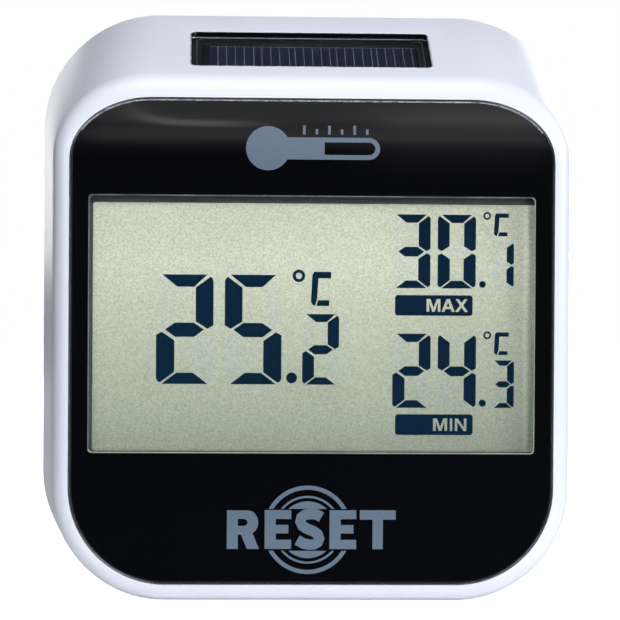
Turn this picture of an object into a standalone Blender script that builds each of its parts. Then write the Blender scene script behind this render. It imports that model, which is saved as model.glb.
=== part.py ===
"""Solar maximum minimum thermometer, built as separate pieces.

Metres, +Z up. The thermometer stands on its flat bottom edge (z = 0), its
display faces -Y and its hanging side faces +Y. The origin is the centre of
the bottom of its bounding box.
"""
import math

import bmesh
import bpy
from mathutils import Matrix, Vector

# ---------------------------------------------------------------- clearances
GAP = 0.0003           # between pieces that touch on the real object
OVERSHOOT = 0.001      # how far a cutter runs past the face it opens

# ---------------------------------------------------------- overall case size
CASE_WIDTH = 0.092     # across the back edge
CASE_HEIGHT = 0.100    # from the table to the top of the back edge
CASE_DEPTH = 0.025
BACK_CORNER = 0.0202   # corner radius of the back edge
SIDE_FLARE = 0.0030    # the back is this much wider than the front, each side
TOP_DROP = 0.0130      # the front edge lies this far below the back edge
FRONT_CORNER = 0.0187  # lower corner radius of the front edge
TOP_CORNER_X = 0.0163  # width and height of the front edge's upper corners
TOP_CORNER_Z = 0.0135
NOSE_DEPTH = 0.0026    # how far the rounded front rim rolls back
BACK_EDGE = 0.0006     # rounding of the back edge
CASE_WALL = 0.0022
CASE_LIP = 0.0011      # thin lip around the rear cover
CORNER_STEPS = 9
NOSE_STEPS = 5

# ------------------------------------------------------------- front panel
RIM_SIDE = 0.0025      # rim from the panel to the front edge: sides,
RIM_BOTTOM = 0.0027    # bottom
RIM_TOP = 0.0031       # and top
PANEL_SINK = 0.0003    # panel face below the rim
PANEL_THICK = 0.0012
PANEL_CHAMFER = 0.00025
BEND_HEIGHT = 0.0112   # the top of the panel curves back over this height
BEND_RADIUS = 0.036
FRONT_WALL = 0.0017    # case wall behind the panel

# ------------------------------------------------------------- display
WINDOW_WIDTH = 0.0746
WINDOW_HEIGHT = 0.0430
WINDOW_CENTRE_Z = 0.0461
WINDOW_CORNER = 0.0007
LENS_MARGIN = 0.0016   # the lens is this much larger than the window
LENS_THICK = 0.0010
LCD_THICK = 0.0022
FRAME_RIM = 0.0012     # plastic frame that holds the display glass
REFLECTOR_THICK = 0.0002
ZEBRA_WIDTH = 0.0020
ZEBRA_INSET = 0.0013

# ------------------------------------------------------------- circuit board
BOARD_HALF_WIDTH = 0.0385
BOARD_THICK = 0.0016
BOARD_MARGIN = 0.0080  # board above and below the display frame's opening
TAB_HALF_WIDTH = 0.0110
TAB_BOTTOM = 0.0055
POST_RADIUS = 0.0024
POST_X = 0.0340
POST_OFFSET = 0.0050   # post axes beyond the frame's opening
SMALL_SHANK = 0.0008
SMALL_HEAD = 0.0018
SMALL_HEAD_THICK = 0.0012
SMALL_DRIVE = 0.0020
SMALL_GRIP = 0.0038    # how far a board screw reaches past the board
SMALL_HOLE = 0.0042    # depth of a board post's hole
BLOB_RADIUS = 0.0060
BLOB_HEIGHT = 0.0016
CAPACITOR_RADIUS = 0.0030
CAPACITOR_LENGTH = 0.0070
CRYSTAL_RADIUS = 0.0011
CRYSTAL_LENGTH = 0.0060
TOUCH_RADIUS = 0.0078
TOUCH_CENTRE_Z = 0.0118
FOIL_THICK = 0.0003
TOUCH_COIL_RADIUS = 0.0036
TOUCH_TURNS = 4
TOUCH_WIRE = 0.00025
BEAD_RADIUS = 0.0016
LEAD_RADIUS = 0.0003
LEAD_LANDING = 0.0020  # leads meet the board this far above its lower edge
BEAD_STAND_OFF = 0.0040
BEAD_X = -0.0240
BEAD_Z = 0.0095

# ------------------------------------------------------------- solar window
SOLAR_WIDTH = 0.0412   # opening in the sloping top
SOLAR_HEIGHT = 0.0136
SOLAR_START = 0.0051   # from the virtual front edge, up the slope
SOLAR_SINK = 0.0003
SOLAR_PANE = 0.0014
SOLAR_CORNER = 0.0010
SOLAR_FRAME_MARGIN = 0.0014
SOLAR_FRAME_THICK = 0.0022
CELL_WIDTH = 0.0366
CELL_HEIGHT = 0.0088
CELL_THICK = 0.0009
WIRE_RADIUS = 0.0005
SOLAR_WIRE_X = 0.0080

# ------------------------------------------------------------- rear cover
COVER_THICK = 0.0020
COVER_CHAMFER = 0.0003
GASKET_THICK = 0.0007
COVER_SCREW_X_LOW = 0.0335
COVER_SCREW_Z_LOW = 0.0105
COVER_SCREW_X_HIGH = 0.0310
COVER_SCREW_BELOW_TOP = 0.0175
BOSS_RADIUS = 0.0030
SEAT_RADIUS = 0.0042
SEAT_DEPTH = 0.0019
SHANK_RADIUS = 0.0014
HEAD_RADIUS = 0.0029
HEAD_THICK = 0.0016
HEAD_SINK = 0.0007     # screw heads lie this far below the back face
SCREW_LENGTH = 0.0100
DRIVE_LENGTH = 0.0034
DRIVE_WIDTH = 0.0007
DRIVE_DEPTH = 0.0008
KEYHOLE_RADIUS = 0.0042
KEYHOLE_SLOT_RADIUS = 0.0021
KEYHOLE_BELOW_TOP = 0.0190
KEYHOLE_RISE = 0.0065
VENT_COUNT = 9
VENT_PITCH = 0.0040
VENT_WIDTH = 0.0015
VENT_HEIGHT = 0.0110
VENT_CENTRE_Z = 0.0155

# ------------------------------------------------------------- battery
CELL_RADIUS = 0.00525  # size AAA
CELL_LENGTH = 0.0445
NUB_RADIUS = 0.0019
NUB_LENGTH = 0.0009
SPRING_LENGTH = 0.0050
SPRING_TURNS = 4
SPRING_WIRE = 0.00035
PLATE_THICK = 0.0004
PLATE_SIZE = 0.0084
CONTACT_TAIL = 0.0015  # solder tail outside the bay
BAY_CENTRE_Z = 0.0380
BAY_WALL = 0.0012
BAY_FLOOR = 0.0010
DOOR_THICK = 0.0016
DOOR_MARGIN = 0.0020   # door beyond the bay's opening
LEDGE_THICK = 0.0012
LEDGE_MARGIN = 0.0020
TONGUE_WIDTH = 0.0080
TONGUE_X = 0.0160
TONGUE_REACH = 0.0020
TONGUE_ROOT = 0.0030
TONGUE_THICK = 0.0011
TONGUE_SWING = 0.0030  # room in front of a tongue for it to swing
TAB_SLOT = 0.0008
LATCH_WIDTH = 0.0120
LATCH_DEPTH = 0.0050
GRIP_COUNT = 3
GRIP_PITCH = 0.0012
GRIP_WIDTH = 0.0006

# ------------------------------------------------------------- unit button
BUTTON_X = -0.0200
BUTTON_Z = 0.0620
BUTTON_RADIUS = 0.0030
BUTTON_FLANGE = 0.0038
BUTTON_FLANGE_THICK = 0.0009
BUTTON_STEM = 0.0014
BUTTON_SINK = 0.0003
BUTTON_TRAVEL = 0.0007
GUIDE_WALL = 0.0010
GUIDE_LENGTH = 0.0045
SWITCH_SIZE = 0.0060
SWITCH_HEIGHT = 0.0035
PLUNGER_RADIUS = 0.0017
PLUNGER_PROUD = 0.0012

# ------------------------------------------------------------- worked out
FRONT_Y = -CASE_DEPTH / 2
BACK_Y = CASE_DEPTH / 2
FRONT_HALF = CASE_WIDTH / 2 - SIDE_FLARE
FRONT_TOP = CASE_HEIGHT - TOP_DROP
PANEL_TOP = FRONT_TOP - RIM_TOP
BEND_START = PANEL_TOP - BEND_HEIGHT
PANEL_FRONT = FRONT_Y + PANEL_SINK
PANEL_BACK = PANEL_FRONT + PANEL_THICK
FLOOR_FRONT = PANEL_BACK + GAP
FLOOR_BACK = FLOOR_FRONT + FRONT_WALL
LENS_HALF_X = WINDOW_WIDTH / 2 + LENS_MARGIN
LENS_LOW = WINDOW_CENTRE_Z - WINDOW_HEIGHT / 2 - LENS_MARGIN
LENS_HIGH = WINDOW_CENTRE_Z + WINDOW_HEIGHT / 2 + LENS_MARGIN
LENS_BACK = FLOOR_FRONT + LENS_THICK
LCD_FRONT = LENS_BACK + GAP
LCD_BACK = LCD_FRONT + LCD_THICK
BOARD_LOW = LENS_LOW - BOARD_MARGIN
BOARD_HIGH = LENS_HIGH + BOARD_MARGIN
POST_LOW = LENS_LOW - POST_OFFSET
POST_HIGH = LENS_HIGH + POST_OFFSET
COVER_INNER = BACK_Y - COVER_THICK
LEDGE_Y = COVER_INNER - GAP - GASKET_THICK - GAP
SEAT_INNER = COVER_INNER - SEAT_DEPTH
COVER_SCREW_Z_HIGH = CASE_HEIGHT - COVER_SCREW_BELOW_TOP
DOOR_INNER = BACK_Y - DOOR_THICK
CELL_Y = DOOR_INNER - GAP - CELL_RADIUS
BAY_FLOOR_Y = CELL_Y - CELL_RADIUS - GAP
BAY_HALF_Z = CELL_RADIUS + 2 * GAP
BOARD_BACK = BAY_FLOOR_Y - BAY_FLOOR - GAP
BOARD_FRONT = BOARD_BACK - BOARD_THICK
BAY_HALF_X = (CELL_LENGTH + NUB_LENGTH + SPRING_LENGTH) / 2 + PLATE_THICK + 3 * GAP
DOOR_HALF_X = BAY_HALF_X + DOOR_MARGIN
DOOR_HALF_Z = BAY_HALF_Z + DOOR_MARGIN
HINGE_Z = BAY_CENTRE_Z - DOOR_HALF_Z - GAP

COLOURS = {
    "case_plastic": ((0.80, 0.82, 0.86), 0.32, 0.0),
    "cover_plastic": ((0.74, 0.76, 0.80), 0.45, 0.0),
    "panel_black": ((0.006, 0.007, 0.010), 0.08, 0.0),
    "clear_plastic": ((0.90, 0.92, 0.92), 0.05, 0.0),
    "display_glass": ((0.52, 0.55, 0.42), 0.35, 0.0),
    "reflector": ((0.60, 0.62, 0.55), 0.40, 0.0),
    "frame_plastic": ((0.05, 0.05, 0.055), 0.50, 0.0),
    "rubber": ((0.03, 0.03, 0.03), 0.80, 0.0),
    "board": ((0.02, 0.16, 0.07), 0.40, 0.0),
    "epoxy": ((0.01, 0.01, 0.012), 0.30, 0.0),
    "nickel": ((0.62, 0.60, 0.57), 0.25, 1.0),
    "copper": ((0.75, 0.38, 0.20), 0.30, 1.0),
    "solar_blue": ((0.012, 0.014, 0.035), 0.20, 0.0),
    "wire_red": ((0.50, 0.02, 0.02), 0.45, 0.0),
    "wire_black": ((0.02, 0.02, 0.02), 0.45, 0.0),
    "battery_wrap": ((0.10, 0.25, 0.12), 0.30, 0.0),
    "button_grey": ((0.35, 0.37, 0.40), 0.50, 0.0),
}


# ================================================================= helpers
def clear_scene():
    for obj in list(bpy.data.objects):
        bpy.data.objects.remove(obj, do_unlink=True)


def material(slot):
    """The Principled material of one finish, made the first time it is asked for."""
    found = bpy.data.materials.get(slot)
    if found:
        return found
    colour, roughness, metallic = COLOURS[slot]
    made = bpy.data.materials.new(slot)
    made.use_nodes = True
    shader = made.node_tree.nodes["Principled BSDF"]
    shader.inputs["Base Color"].default_value = (*colour, 1.0)
    shader.inputs["Roughness"].default_value = roughness
    shader.inputs["Metallic"].default_value = metallic
    return made


def put_in_scene(obj, slot):
    bpy.context.scene.collection.objects.link(obj)
    if slot:
        obj.data.materials.append(material(slot))
    return obj


def mesh_object(name, shape, slot=None):
    """An object from a bmesh whose faces are turned to point outwards."""
    bmesh.ops.recalc_face_normals(shape, faces=shape.faces)
    data = bpy.data.meshes.new(name)
    shape.to_mesh(data)
    shape.free()
    data.shade_smooth()
    data.set_sharp_from_angle(angle=math.radians(35))
    return put_in_scene(bpy.data.objects.new(name, data), slot)


def box(name, low, high, slot=None, bevel=0.0, axis=None, segments=2):
    """A block between two corners. Bevel rounds all its edges, or those along one axis."""
    shape = bmesh.new()
    size = Vector(high) - Vector(low)
    middle = (Vector(high) + Vector(low)) / 2
    place = Matrix.Translation(middle) @ Matrix.Diagonal((*size, 1.0))
    bmesh.ops.create_cube(shape, size=1.0, matrix=place)
    if bevel:
        edges = list(shape.edges)
        if axis is not None:
            edges = [e for e in edges
                     if abs((e.verts[0].co - e.verts[1].co).normalized()[axis]) > 0.99]
        bmesh.ops.bevel(shape, geom=edges, offset=bevel, segments=segments,
                        profile=0.5, affect="EDGES")
    return mesh_object(name, shape, slot)


def turned(name, profile, origin, axis, slot=None, steps=20):
    """A solid of revolution. The profile holds (radius, height) pairs, the height along axis."""
    shape = bmesh.new()
    turn = Vector((0, 0, 1)).rotation_difference(Vector(axis)).to_matrix().to_4x4()
    place = Matrix.Translation(Vector(origin)) @ turn
    rings = []
    for radius, height in profile:
        ring = []
        for step in range(steps):
            angle = 2 * math.pi * step / steps
            point = Vector((radius * math.cos(angle), radius * math.sin(angle), height))
            ring.append(shape.verts.new(place @ point))
        rings.append(ring)
    for lower, upper in zip(rings, rings[1:]):
        for step in range(steps):
            after = (step + 1) % steps
            shape.faces.new((lower[step], lower[after], upper[after], upper[step]))
    shape.faces.new(list(reversed(rings[0])))
    shape.faces.new(rings[-1])
    return mesh_object(name, shape, slot)


def rod(name, radius, start_y, end_y, x, z, slot=None, steps=20):
    """A plain cylinder along Y."""
    return turned(name, [(radius, 0.0), (radius, end_y - start_y)], (x, start_y, z),
                  (0, 1, 0), slot, steps)


def tube(name, points, radius, slot=None, smooth_steps=6, bevel_resolution=2):
    """A wire: a POLY curve through points read from a smooth path."""
    path = smooth_path(points, smooth_steps) if smooth_steps else points
    data = bpy.data.curves.new(name, "CURVE")
    data.dimensions = "3D"
    data.bevel_depth = radius
    data.bevel_resolution = bevel_resolution
    data.use_fill_caps = True
    line = data.splines.new("POLY")
    line.points.add(len(path) - 1)
    for target, point in zip(line.points, path):
        target.co = (*point, 1.0)
    return put_in_scene(bpy.data.objects.new(name, data), slot)


def smooth_path(points, steps):
    """Points on a Catmull-Rom curve through the route's own points."""
    route = [Vector(p) for p in points]
    route = [2 * route[0] - route[1]] + route + [2 * route[-1] - route[-2]]
    path = []
    for a, b, c, d in zip(route, route[1:], route[2:], route[3:]):
        for step in range(steps):
            t = step / steps
            path.append(0.5 * (2 * b + (c - a) * t + (2 * a - 5 * b + 4 * c - d) * t ** 2
                               + (3 * b - a - 3 * c + d) * t ** 3))
    path.append(route[-2])
    return path


def helix(start, end, radius_start, radius_end, turns, steps=12):
    """Points of a coil along Y (start and end share X and Z) or along X."""
    first, last = Vector(start), Vector(end)
    along = (last - first).normalized()
    side = Vector((0, 0, 1))
    across = along.cross(side)
    points = []
    for step in range(turns * steps + 1):
        share = step / (turns * steps)
        angle = 2 * math.pi * step / steps
        radius = radius_start + (radius_end - radius_start) * share
        middle = first.lerp(last, share)
        points.append(middle + radius * (side * math.cos(angle) + across * math.sin(angle)))
    return points


def boolean(target, tools, operation):
    """Keeps a live Boolean for each tool, and hides the tool."""
    for tool in tools:
        modifier = target.modifiers.new(tool.name, "BOOLEAN")
        modifier.operation = operation
        modifier.solver = "EXACT"
        modifier.object = tool
        tool.hide_render = True
        tool.display_type = "WIRE"
        if target.matrix_world != Matrix.Identity(4) and tool.parent is None:
            tool.matrix_world = target.matrix_world @ tool.matrix_world


def cut(target, *tools):
    boolean(target, tools, "DIFFERENCE")


def fuse(target, *tools):
    boolean(target, tools, "UNION")


# ====================================================== outlines of the case
def half_outline(half_width, low, high, low_radius, high_x, high_z):
    """Right-hand half of an outline in the XZ plane, from the bottom to the top."""
    points = []
    for step in range(CORNER_STEPS + 1):
        angle = math.pi / 2 * step / CORNER_STEPS
        points.append((half_width - low_radius + low_radius * math.sin(angle),
                       low + low_radius - low_radius * math.cos(angle)))
    for step in range(CORNER_STEPS + 1):
        angle = math.pi / 2 * step / CORNER_STEPS
        points.append((half_width - high_x + high_x * math.cos(angle),
                       high - high_z + high_z * math.sin(angle)))
    return points


def bend_back(z):
    """How far the front face has curved back at this height."""
    rise = max(0.0, z - BEND_START)
    return BEND_RADIUS - math.sqrt(BEND_RADIUS ** 2 - rise ** 2)


def front_edge(inset=0.0):
    """The virtual sharp edge where the front face meets the walls."""
    outline = half_outline(FRONT_HALF - inset, inset, FRONT_TOP - inset, FRONT_CORNER - inset,
                           TOP_CORNER_X - inset, TOP_CORNER_Z - inset)
    return [Vector((x, FRONT_Y + bend_back(z), z)) for x, z in outline]


def back_edge(inset=0.0):
    radius = BACK_CORNER - inset
    outline = half_outline(CASE_WIDTH / 2 - inset, inset, CASE_HEIGHT - inset,
                           radius, radius, radius)
    return [Vector((x, BACK_Y, z)) for x, z in outline]


def panel_edge(inset=0.0, y=FRONT_Y):
    """Outline of the panel's recess, on the front face moved to depth y."""
    side = RIM_SIDE + inset
    outline = half_outline(FRONT_HALF - side, RIM_BOTTOM + inset, PANEL_TOP - inset,
                           FRONT_CORNER - side, TOP_CORNER_X - side,
                           TOP_CORNER_Z - RIM_TOP - inset)
    return [Vector((x, y + bend_back(z), z)) for x, z in outline]


def wall_slice(y, inset=0.0, bent=False):
    """The case wall's outline at depth y. A bent slice follows the front face."""
    ring = []
    for front, back in zip(front_edge(inset), back_edge(inset)):
        depth = y + (bend_back(front.z) if bent else 0.0)
        ring.append(front.lerp(back, (depth - front.y) / (back.y - front.y)))
    return ring


def nose_rings():
    """The rounded rim: a curve from the panel's edge round the virtual front edge."""
    rings = []
    inner, corner, back = panel_edge(), front_edge(), back_edge()
    share = NOSE_DEPTH / CASE_DEPTH
    for step in range(NOSE_STEPS + 1):
        t = step / NOSE_STEPS
        ring = []
        for a, b, c in zip(inner, corner, back):
            end = b.lerp(c, share)
            ring.append(a * (1 - t) ** 2 + b * 2 * t * (1 - t) + end * t ** 2)
        rings.append(ring)
    return rings


def loft(name, rings, slot, closed=False):
    """A solid through half-outlines that are mirrored to -X. Open ends get ladder caps,
    whose rungs join the two sides at each height, so that a cap can follow the bend."""
    shape = bmesh.new()
    count = len(rings[0])
    loops = []
    for ring in rings:
        right = [shape.verts.new(p) for p in ring]
        left = [shape.verts.new((-p.x, p.y, p.z)) for p in ring]
        loops.append(right + list(reversed(left)))
    pairs = list(zip(loops, loops[1:]))
    if closed:
        pairs.append((loops[-1], loops[0]))
    total = 2 * count
    for lower, upper in pairs:
        for i in range(total):
            after = (i + 1) % total
            shape.faces.new((lower[i], lower[after], upper[after], upper[i]))
    if not closed:
        for loop in (loops[0], loops[-1]):
            for i in range(count - 1):
                shape.faces.new((loop[i], loop[i + 1], loop[total - 2 - i], loop[total - 1 - i]))
    return mesh_object(name, shape, slot)


def slope_place():
    """Frame of the sloping top: local Y runs up the slope, local Z out of it."""
    front = Vector((0, FRONT_Y + bend_back(FRONT_TOP), FRONT_TOP))
    up = (Vector((0, BACK_Y, CASE_HEIGHT)) - front).normalized()
    out = Vector((1, 0, 0)).cross(up)
    turn = Matrix(((1, up.x, out.x), (0, up.y, out.y), (0, up.z, out.z)))
    return Matrix.Translation(front) @ turn.to_4x4()


# ================================================================ the case
def screw_places():
    return [(-COVER_SCREW_X_LOW, COVER_SCREW_Z_LOW), (COVER_SCREW_X_LOW, COVER_SCREW_Z_LOW),
            (-COVER_SCREW_X_HIGH, COVER_SCREW_Z_HIGH), (COVER_SCREW_X_HIGH, COVER_SCREW_Z_HIGH)]


def post_places():
    return [(x, z) for z in (POST_LOW, POST_HIGH) for x in (-POST_X, POST_X)]


def make_front_housing():
    rings = [panel_edge(y=FLOOR_FRONT)]
    rings += nose_rings()
    rings += [wall_slice(BACK_Y - BACK_EDGE),
              wall_slice(BACK_Y - BACK_EDGE * 0.3, BACK_EDGE * 0.3),
              back_edge(BACK_EDGE),
              back_edge(CASE_LIP),
              wall_slice(LEDGE_Y, CASE_LIP),
              wall_slice(LEDGE_Y, CASE_WALL),
              wall_slice(FLOOR_BACK, CASE_WALL, bent=True)]
    housing = loft("front_housing", rings, "case_plastic")

    root = FRONT_WALL / 2    # bosses and posts start inside the front wall
    for number, (x, z) in enumerate(screw_places()):
        start = FLOOR_BACK - root + bend_back(z)
        end = SEAT_INNER - GAP
        fuse(housing, rod(f"boss_{number}", BOSS_RADIUS, start, end, x, z))
        tip = BACK_Y - HEAD_SINK - HEAD_THICK - SCREW_LENGTH
        cut(housing, rod(f"boss_hole_{number}", SHANK_RADIUS + GAP, tip - GAP,
                         end + OVERSHOOT, x, z, steps=12))
    for number, (x, z) in enumerate(post_places()):
        end = BOARD_FRONT - GAP
        fuse(housing, rod(f"post_{number}", POST_RADIUS, FLOOR_BACK - root + bend_back(z),
                          end, x, z, steps=16))
        cut(housing, rod(f"post_hole_{number}", SMALL_SHANK + GAP, end - SMALL_HOLE,
                         end + OVERSHOOT, x, z, steps=12))
    cut(housing, box("lens_opening",
                     (-LENS_HALF_X - GAP, FLOOR_FRONT - OVERSHOOT, LENS_LOW - GAP),
                     (LENS_HALF_X + GAP, FLOOR_BACK + OVERSHOOT, LENS_HIGH + GAP),
                     bevel=WINDOW_CORNER, axis=1))
    opening = box("solar_opening", (-SOLAR_WIDTH / 2, SOLAR_START, -2 * CASE_WALL),
                  (SOLAR_WIDTH / 2, SOLAR_START + SOLAR_HEIGHT, OVERSHOOT),
                  bevel=SOLAR_CORNER, axis=2)
    opening.matrix_world = slope_place()
    cut(housing, opening)
    return housing


def make_front_panel():
    rings = [panel_edge(GAP, PANEL_BACK),
             panel_edge(GAP, PANEL_FRONT + PANEL_CHAMFER),
             panel_edge(GAP + PANEL_CHAMFER, PANEL_FRONT)]
    panel = loft("front_panel", rings, "panel_black")
    half_x, half_z = WINDOW_WIDTH / 2, WINDOW_HEIGHT / 2
    cut(panel, box("window_opening",
                   (-half_x, PANEL_FRONT - OVERSHOOT, WINDOW_CENTRE_Z - half_z),
                   (half_x, PANEL_BACK + OVERSHOOT, WINDOW_CENTRE_Z + half_z),
                   bevel=WINDOW_CORNER, axis=1, segments=3))
    return panel


# ============================================================= the display
def make_display():
    box("display_lens", (-LENS_HALF_X, FLOOR_FRONT, LENS_LOW),
        (LENS_HALF_X, LENS_BACK, LENS_HIGH), "clear_plastic", WINDOW_CORNER, 1)
    box("lcd_glass", (-LENS_HALF_X, LCD_FRONT, LENS_LOW),
        (LENS_HALF_X, LCD_BACK, LENS_HIGH), "display_glass", 0.0002)
    strip_back = BOARD_FRONT - GAP
    strip_front = LCD_BACK + GAP
    strip_half = LENS_HALF_X - ZEBRA_INSET
    for name, low in (("zebra_strip_lower", LENS_LOW + ZEBRA_INSET),
                      ("zebra_strip_upper", LENS_HIGH - ZEBRA_INSET - ZEBRA_WIDTH)):
        box(name, (-strip_half, strip_front, low), (strip_half, strip_back, low + ZEBRA_WIDTH),
            "rubber")
    edge = ZEBRA_INSET + ZEBRA_WIDTH + GAP
    box("lcd_reflector", (-strip_half, strip_front, LENS_LOW + edge),
        (strip_half, strip_front + REFLECTOR_THICK, LENS_HIGH - edge), "reflector")
    frame = box("lcd_frame",
                (-LENS_HALF_X - GAP - FRAME_RIM, FLOOR_BACK + GAP, LENS_LOW - GAP - FRAME_RIM),
                (LENS_HALF_X + GAP + FRAME_RIM, strip_back, LENS_HIGH + GAP + FRAME_RIM),
                "frame_plastic")
    cut(frame, box("frame_opening",
                   (-LENS_HALF_X - GAP, FLOOR_BACK - OVERSHOOT, LENS_LOW - GAP),
                   (LENS_HALF_X + GAP, strip_back + OVERSHOOT, LENS_HIGH + GAP)))


# =============================================================== the board
def make_board():
    board = box("main_pcb", (-BOARD_HALF_WIDTH, BOARD_FRONT, BOARD_LOW),
                (BOARD_HALF_WIDTH, BOARD_BACK, BOARD_HIGH), "board", 0.0010, 1)
    fuse(board, box("board_tab", (-TAB_HALF_WIDTH, BOARD_FRONT, TAB_BOTTOM),
                    (TAB_HALF_WIDTH, BOARD_BACK, BOARD_LOW + OVERSHOOT)))
    for number, (x, z) in enumerate(post_places()):
        cut(board, rod(f"board_hole_{number}", SMALL_SHANK + GAP, BOARD_FRONT - OVERSHOOT,
                       BOARD_BACK + OVERSHOOT, x, z, steps=12))
        make_screw(f"pcb_screw_{number + 1}", x, z, BOARD_BACK + GAP, SMALL_SHANK, SMALL_HEAD,
                   SMALL_HEAD_THICK, BOARD_THICK + SMALL_GRIP, SMALL_DRIVE, steps=12)
    back = BOARD_BACK + GAP
    turned("controller_blob",
           [(BLOB_RADIUS, 0.0), (BLOB_RADIUS * 0.92, BLOB_HEIGHT * 0.45),
            (BLOB_RADIUS * 0.66, BLOB_HEIGHT * 0.82), (BLOB_RADIUS * 0.25, BLOB_HEIGHT)],
           (0.0, back, BUTTON_Z - 0.0010), (0, 1, 0), "epoxy")
    rim = CAPACITOR_RADIUS * 0.12
    turned("storage_capacitor",
           [(CAPACITOR_RADIUS, 0.0), (CAPACITOR_RADIUS, CAPACITOR_LENGTH - rim),
            (CAPACITOR_RADIUS - rim, CAPACITOR_LENGTH)],
           (0.0200, back, BUTTON_Z), (0, 1, 0), "frame_plastic")
    turned("clock_crystal",
           [(CRYSTAL_RADIUS * 0.8, 0.0), (CRYSTAL_RADIUS, CRYSTAL_RADIUS * 0.3),
            (CRYSTAL_RADIUS, CRYSTAL_LENGTH)],
           (0.0100, back + CRYSTAL_RADIUS, BUTTON_Z - CRYSTAL_LENGTH / 2), (0, 0, 1),
           "nickel", 12)


def make_touch_key():
    """RESET is a touch zone: a foil behind the case wall, joined to the board by a coil."""
    foil_front = FLOOR_BACK + GAP
    foil_back = foil_front + FOIL_THICK
    rod("touch_electrode", TOUCH_RADIUS, foil_front, foil_back, 0.0, TOUCH_CENTRE_Z,
        "copper", 32)
    start = foil_back + GAP + TOUCH_WIRE
    end = BOARD_FRONT - GAP - TOUCH_WIRE
    tube("touch_spring", helix((0, start, TOUCH_CENTRE_Z), (0, end, TOUCH_CENTRE_Z),
                               TOUCH_COIL_RADIUS, TOUCH_COIL_RADIUS, TOUCH_TURNS),
         TOUCH_WIRE, "nickel", smooth_steps=0, bevel_resolution=1)


def make_thermistor():
    """A glass bead on two leads, held in the air stream behind the vents."""
    bead_y = BOARD_BACK + BEAD_STAND_OFF
    start = BOARD_BACK + GAP
    spread = BEAD_RADIUS * 0.5
    bead = turned("thermistor",
                  [(BEAD_RADIUS * math.sin(math.pi * s / 8),
                    BEAD_RADIUS * (1 - math.cos(math.pi * s / 8))) for s in range(1, 8)],
                  (BEAD_X, bead_y, BEAD_Z - BEAD_RADIUS), (0, 0, 1), "epoxy", 12)
    lead_top = BOARD_LOW + LEAD_LANDING
    for side in (-1, 1):
        x = BEAD_X + side * spread
        fuse(bead,
             turned(f"lead_drop_{side}", [(LEAD_RADIUS, 0.0), (LEAD_RADIUS, lead_top - BEAD_Z)],
                    (x, bead_y, BEAD_Z), (0, 0, 1), steps=8),
             rod(f"lead_foot_{side}", LEAD_RADIUS * 1.1, start, bead_y + LEAD_RADIUS, x,
                 lead_top - LEAD_RADIUS, steps=8))


# ============================================================== solar cell
def make_solar():
    place = slope_place()
    pane_out = -SOLAR_SINK
    pane_in = pane_out - SOLAR_PANE
    frame_out = -CASE_WALL - GAP
    frame_in = frame_out - SOLAR_FRAME_THICK
    centre = SOLAR_START + SOLAR_HEIGHT / 2
    window = box("solar_window",
                 (-SOLAR_WIDTH / 2 + GAP, SOLAR_START + GAP, pane_in),
                 (SOLAR_WIDTH / 2 - GAP, SOLAR_START + SOLAR_HEIGHT - GAP, pane_out),
                 "clear_plastic", SOLAR_CORNER - GAP, 2)
    window.matrix_world = place
    frame_half_x = SOLAR_WIDTH / 2 + SOLAR_FRAME_MARGIN
    frame_half_y = SOLAR_HEIGHT / 2 + SOLAR_FRAME_MARGIN
    frame = box("solar_frame", (-frame_half_x, centre - frame_half_y, frame_in),
                (frame_half_x, centre + frame_half_y, frame_out), "frame_plastic")
    frame.matrix_world = place
    pocket_floor = frame_out - GAP - CELL_THICK - GAP
    relief = box("cover_relief", (-CASE_WIDTH / 2, COVER_INNER - GAP, 0.0),
                 (CASE_WIDTH / 2, BACK_Y, CASE_HEIGHT))
    relief.matrix_world = place.inverted()    # cut() carries it back to the upright frame
    cut(frame, relief)
    cut(frame, box("cell_pocket",
                   (-CELL_WIDTH / 2 - GAP, centre - CELL_HEIGHT / 2 - GAP, pocket_floor),
                   (CELL_WIDTH / 2 + GAP, centre + CELL_HEIGHT / 2 + GAP,
                    frame_out + OVERSHOOT)))
    cell = box("solar_cell",
               (-CELL_WIDTH / 2, centre - CELL_HEIGHT / 2, pocket_floor + GAP),
               (CELL_WIDTH / 2, centre + CELL_HEIGHT / 2, pocket_floor + GAP + CELL_THICK),
               "solar_blue")
    cell.matrix_world = place
    for name, side in (("solar_wire_red", 1), ("solar_wire_black", -1)):
        x = side * SOLAR_WIRE_X
        hole = turned(f"{name}_hole", [(WIRE_RADIUS + GAP, 0.0),
                                       (WIRE_RADIUS + GAP, SOLAR_FRAME_THICK + OVERSHOOT)],
                      (x, centre, frame_in - OVERSHOOT), (0, 0, 1), steps=12)
        cut(frame, hole)
        start = place @ Vector((x, centre, pocket_floor))
        inward = (place.to_3x3() @ Vector((0, 0, -1)))
        land = Vector((x, BOARD_BACK + GAP + WIRE_RADIUS, BOARD_HIGH - 0.0050))
        tube(name, [start, start + inward * 0.0025,
                    Vector((x, start.y + 0.0010, start.z - 0.0060)),
                    Vector((x, land.y + 0.0015, land.z + 0.0040)),
                    Vector((x, land.y + 0.0002, land.z + 0.0012)), land],
             WIRE_RADIUS, name.replace("solar_", ""))


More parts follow.
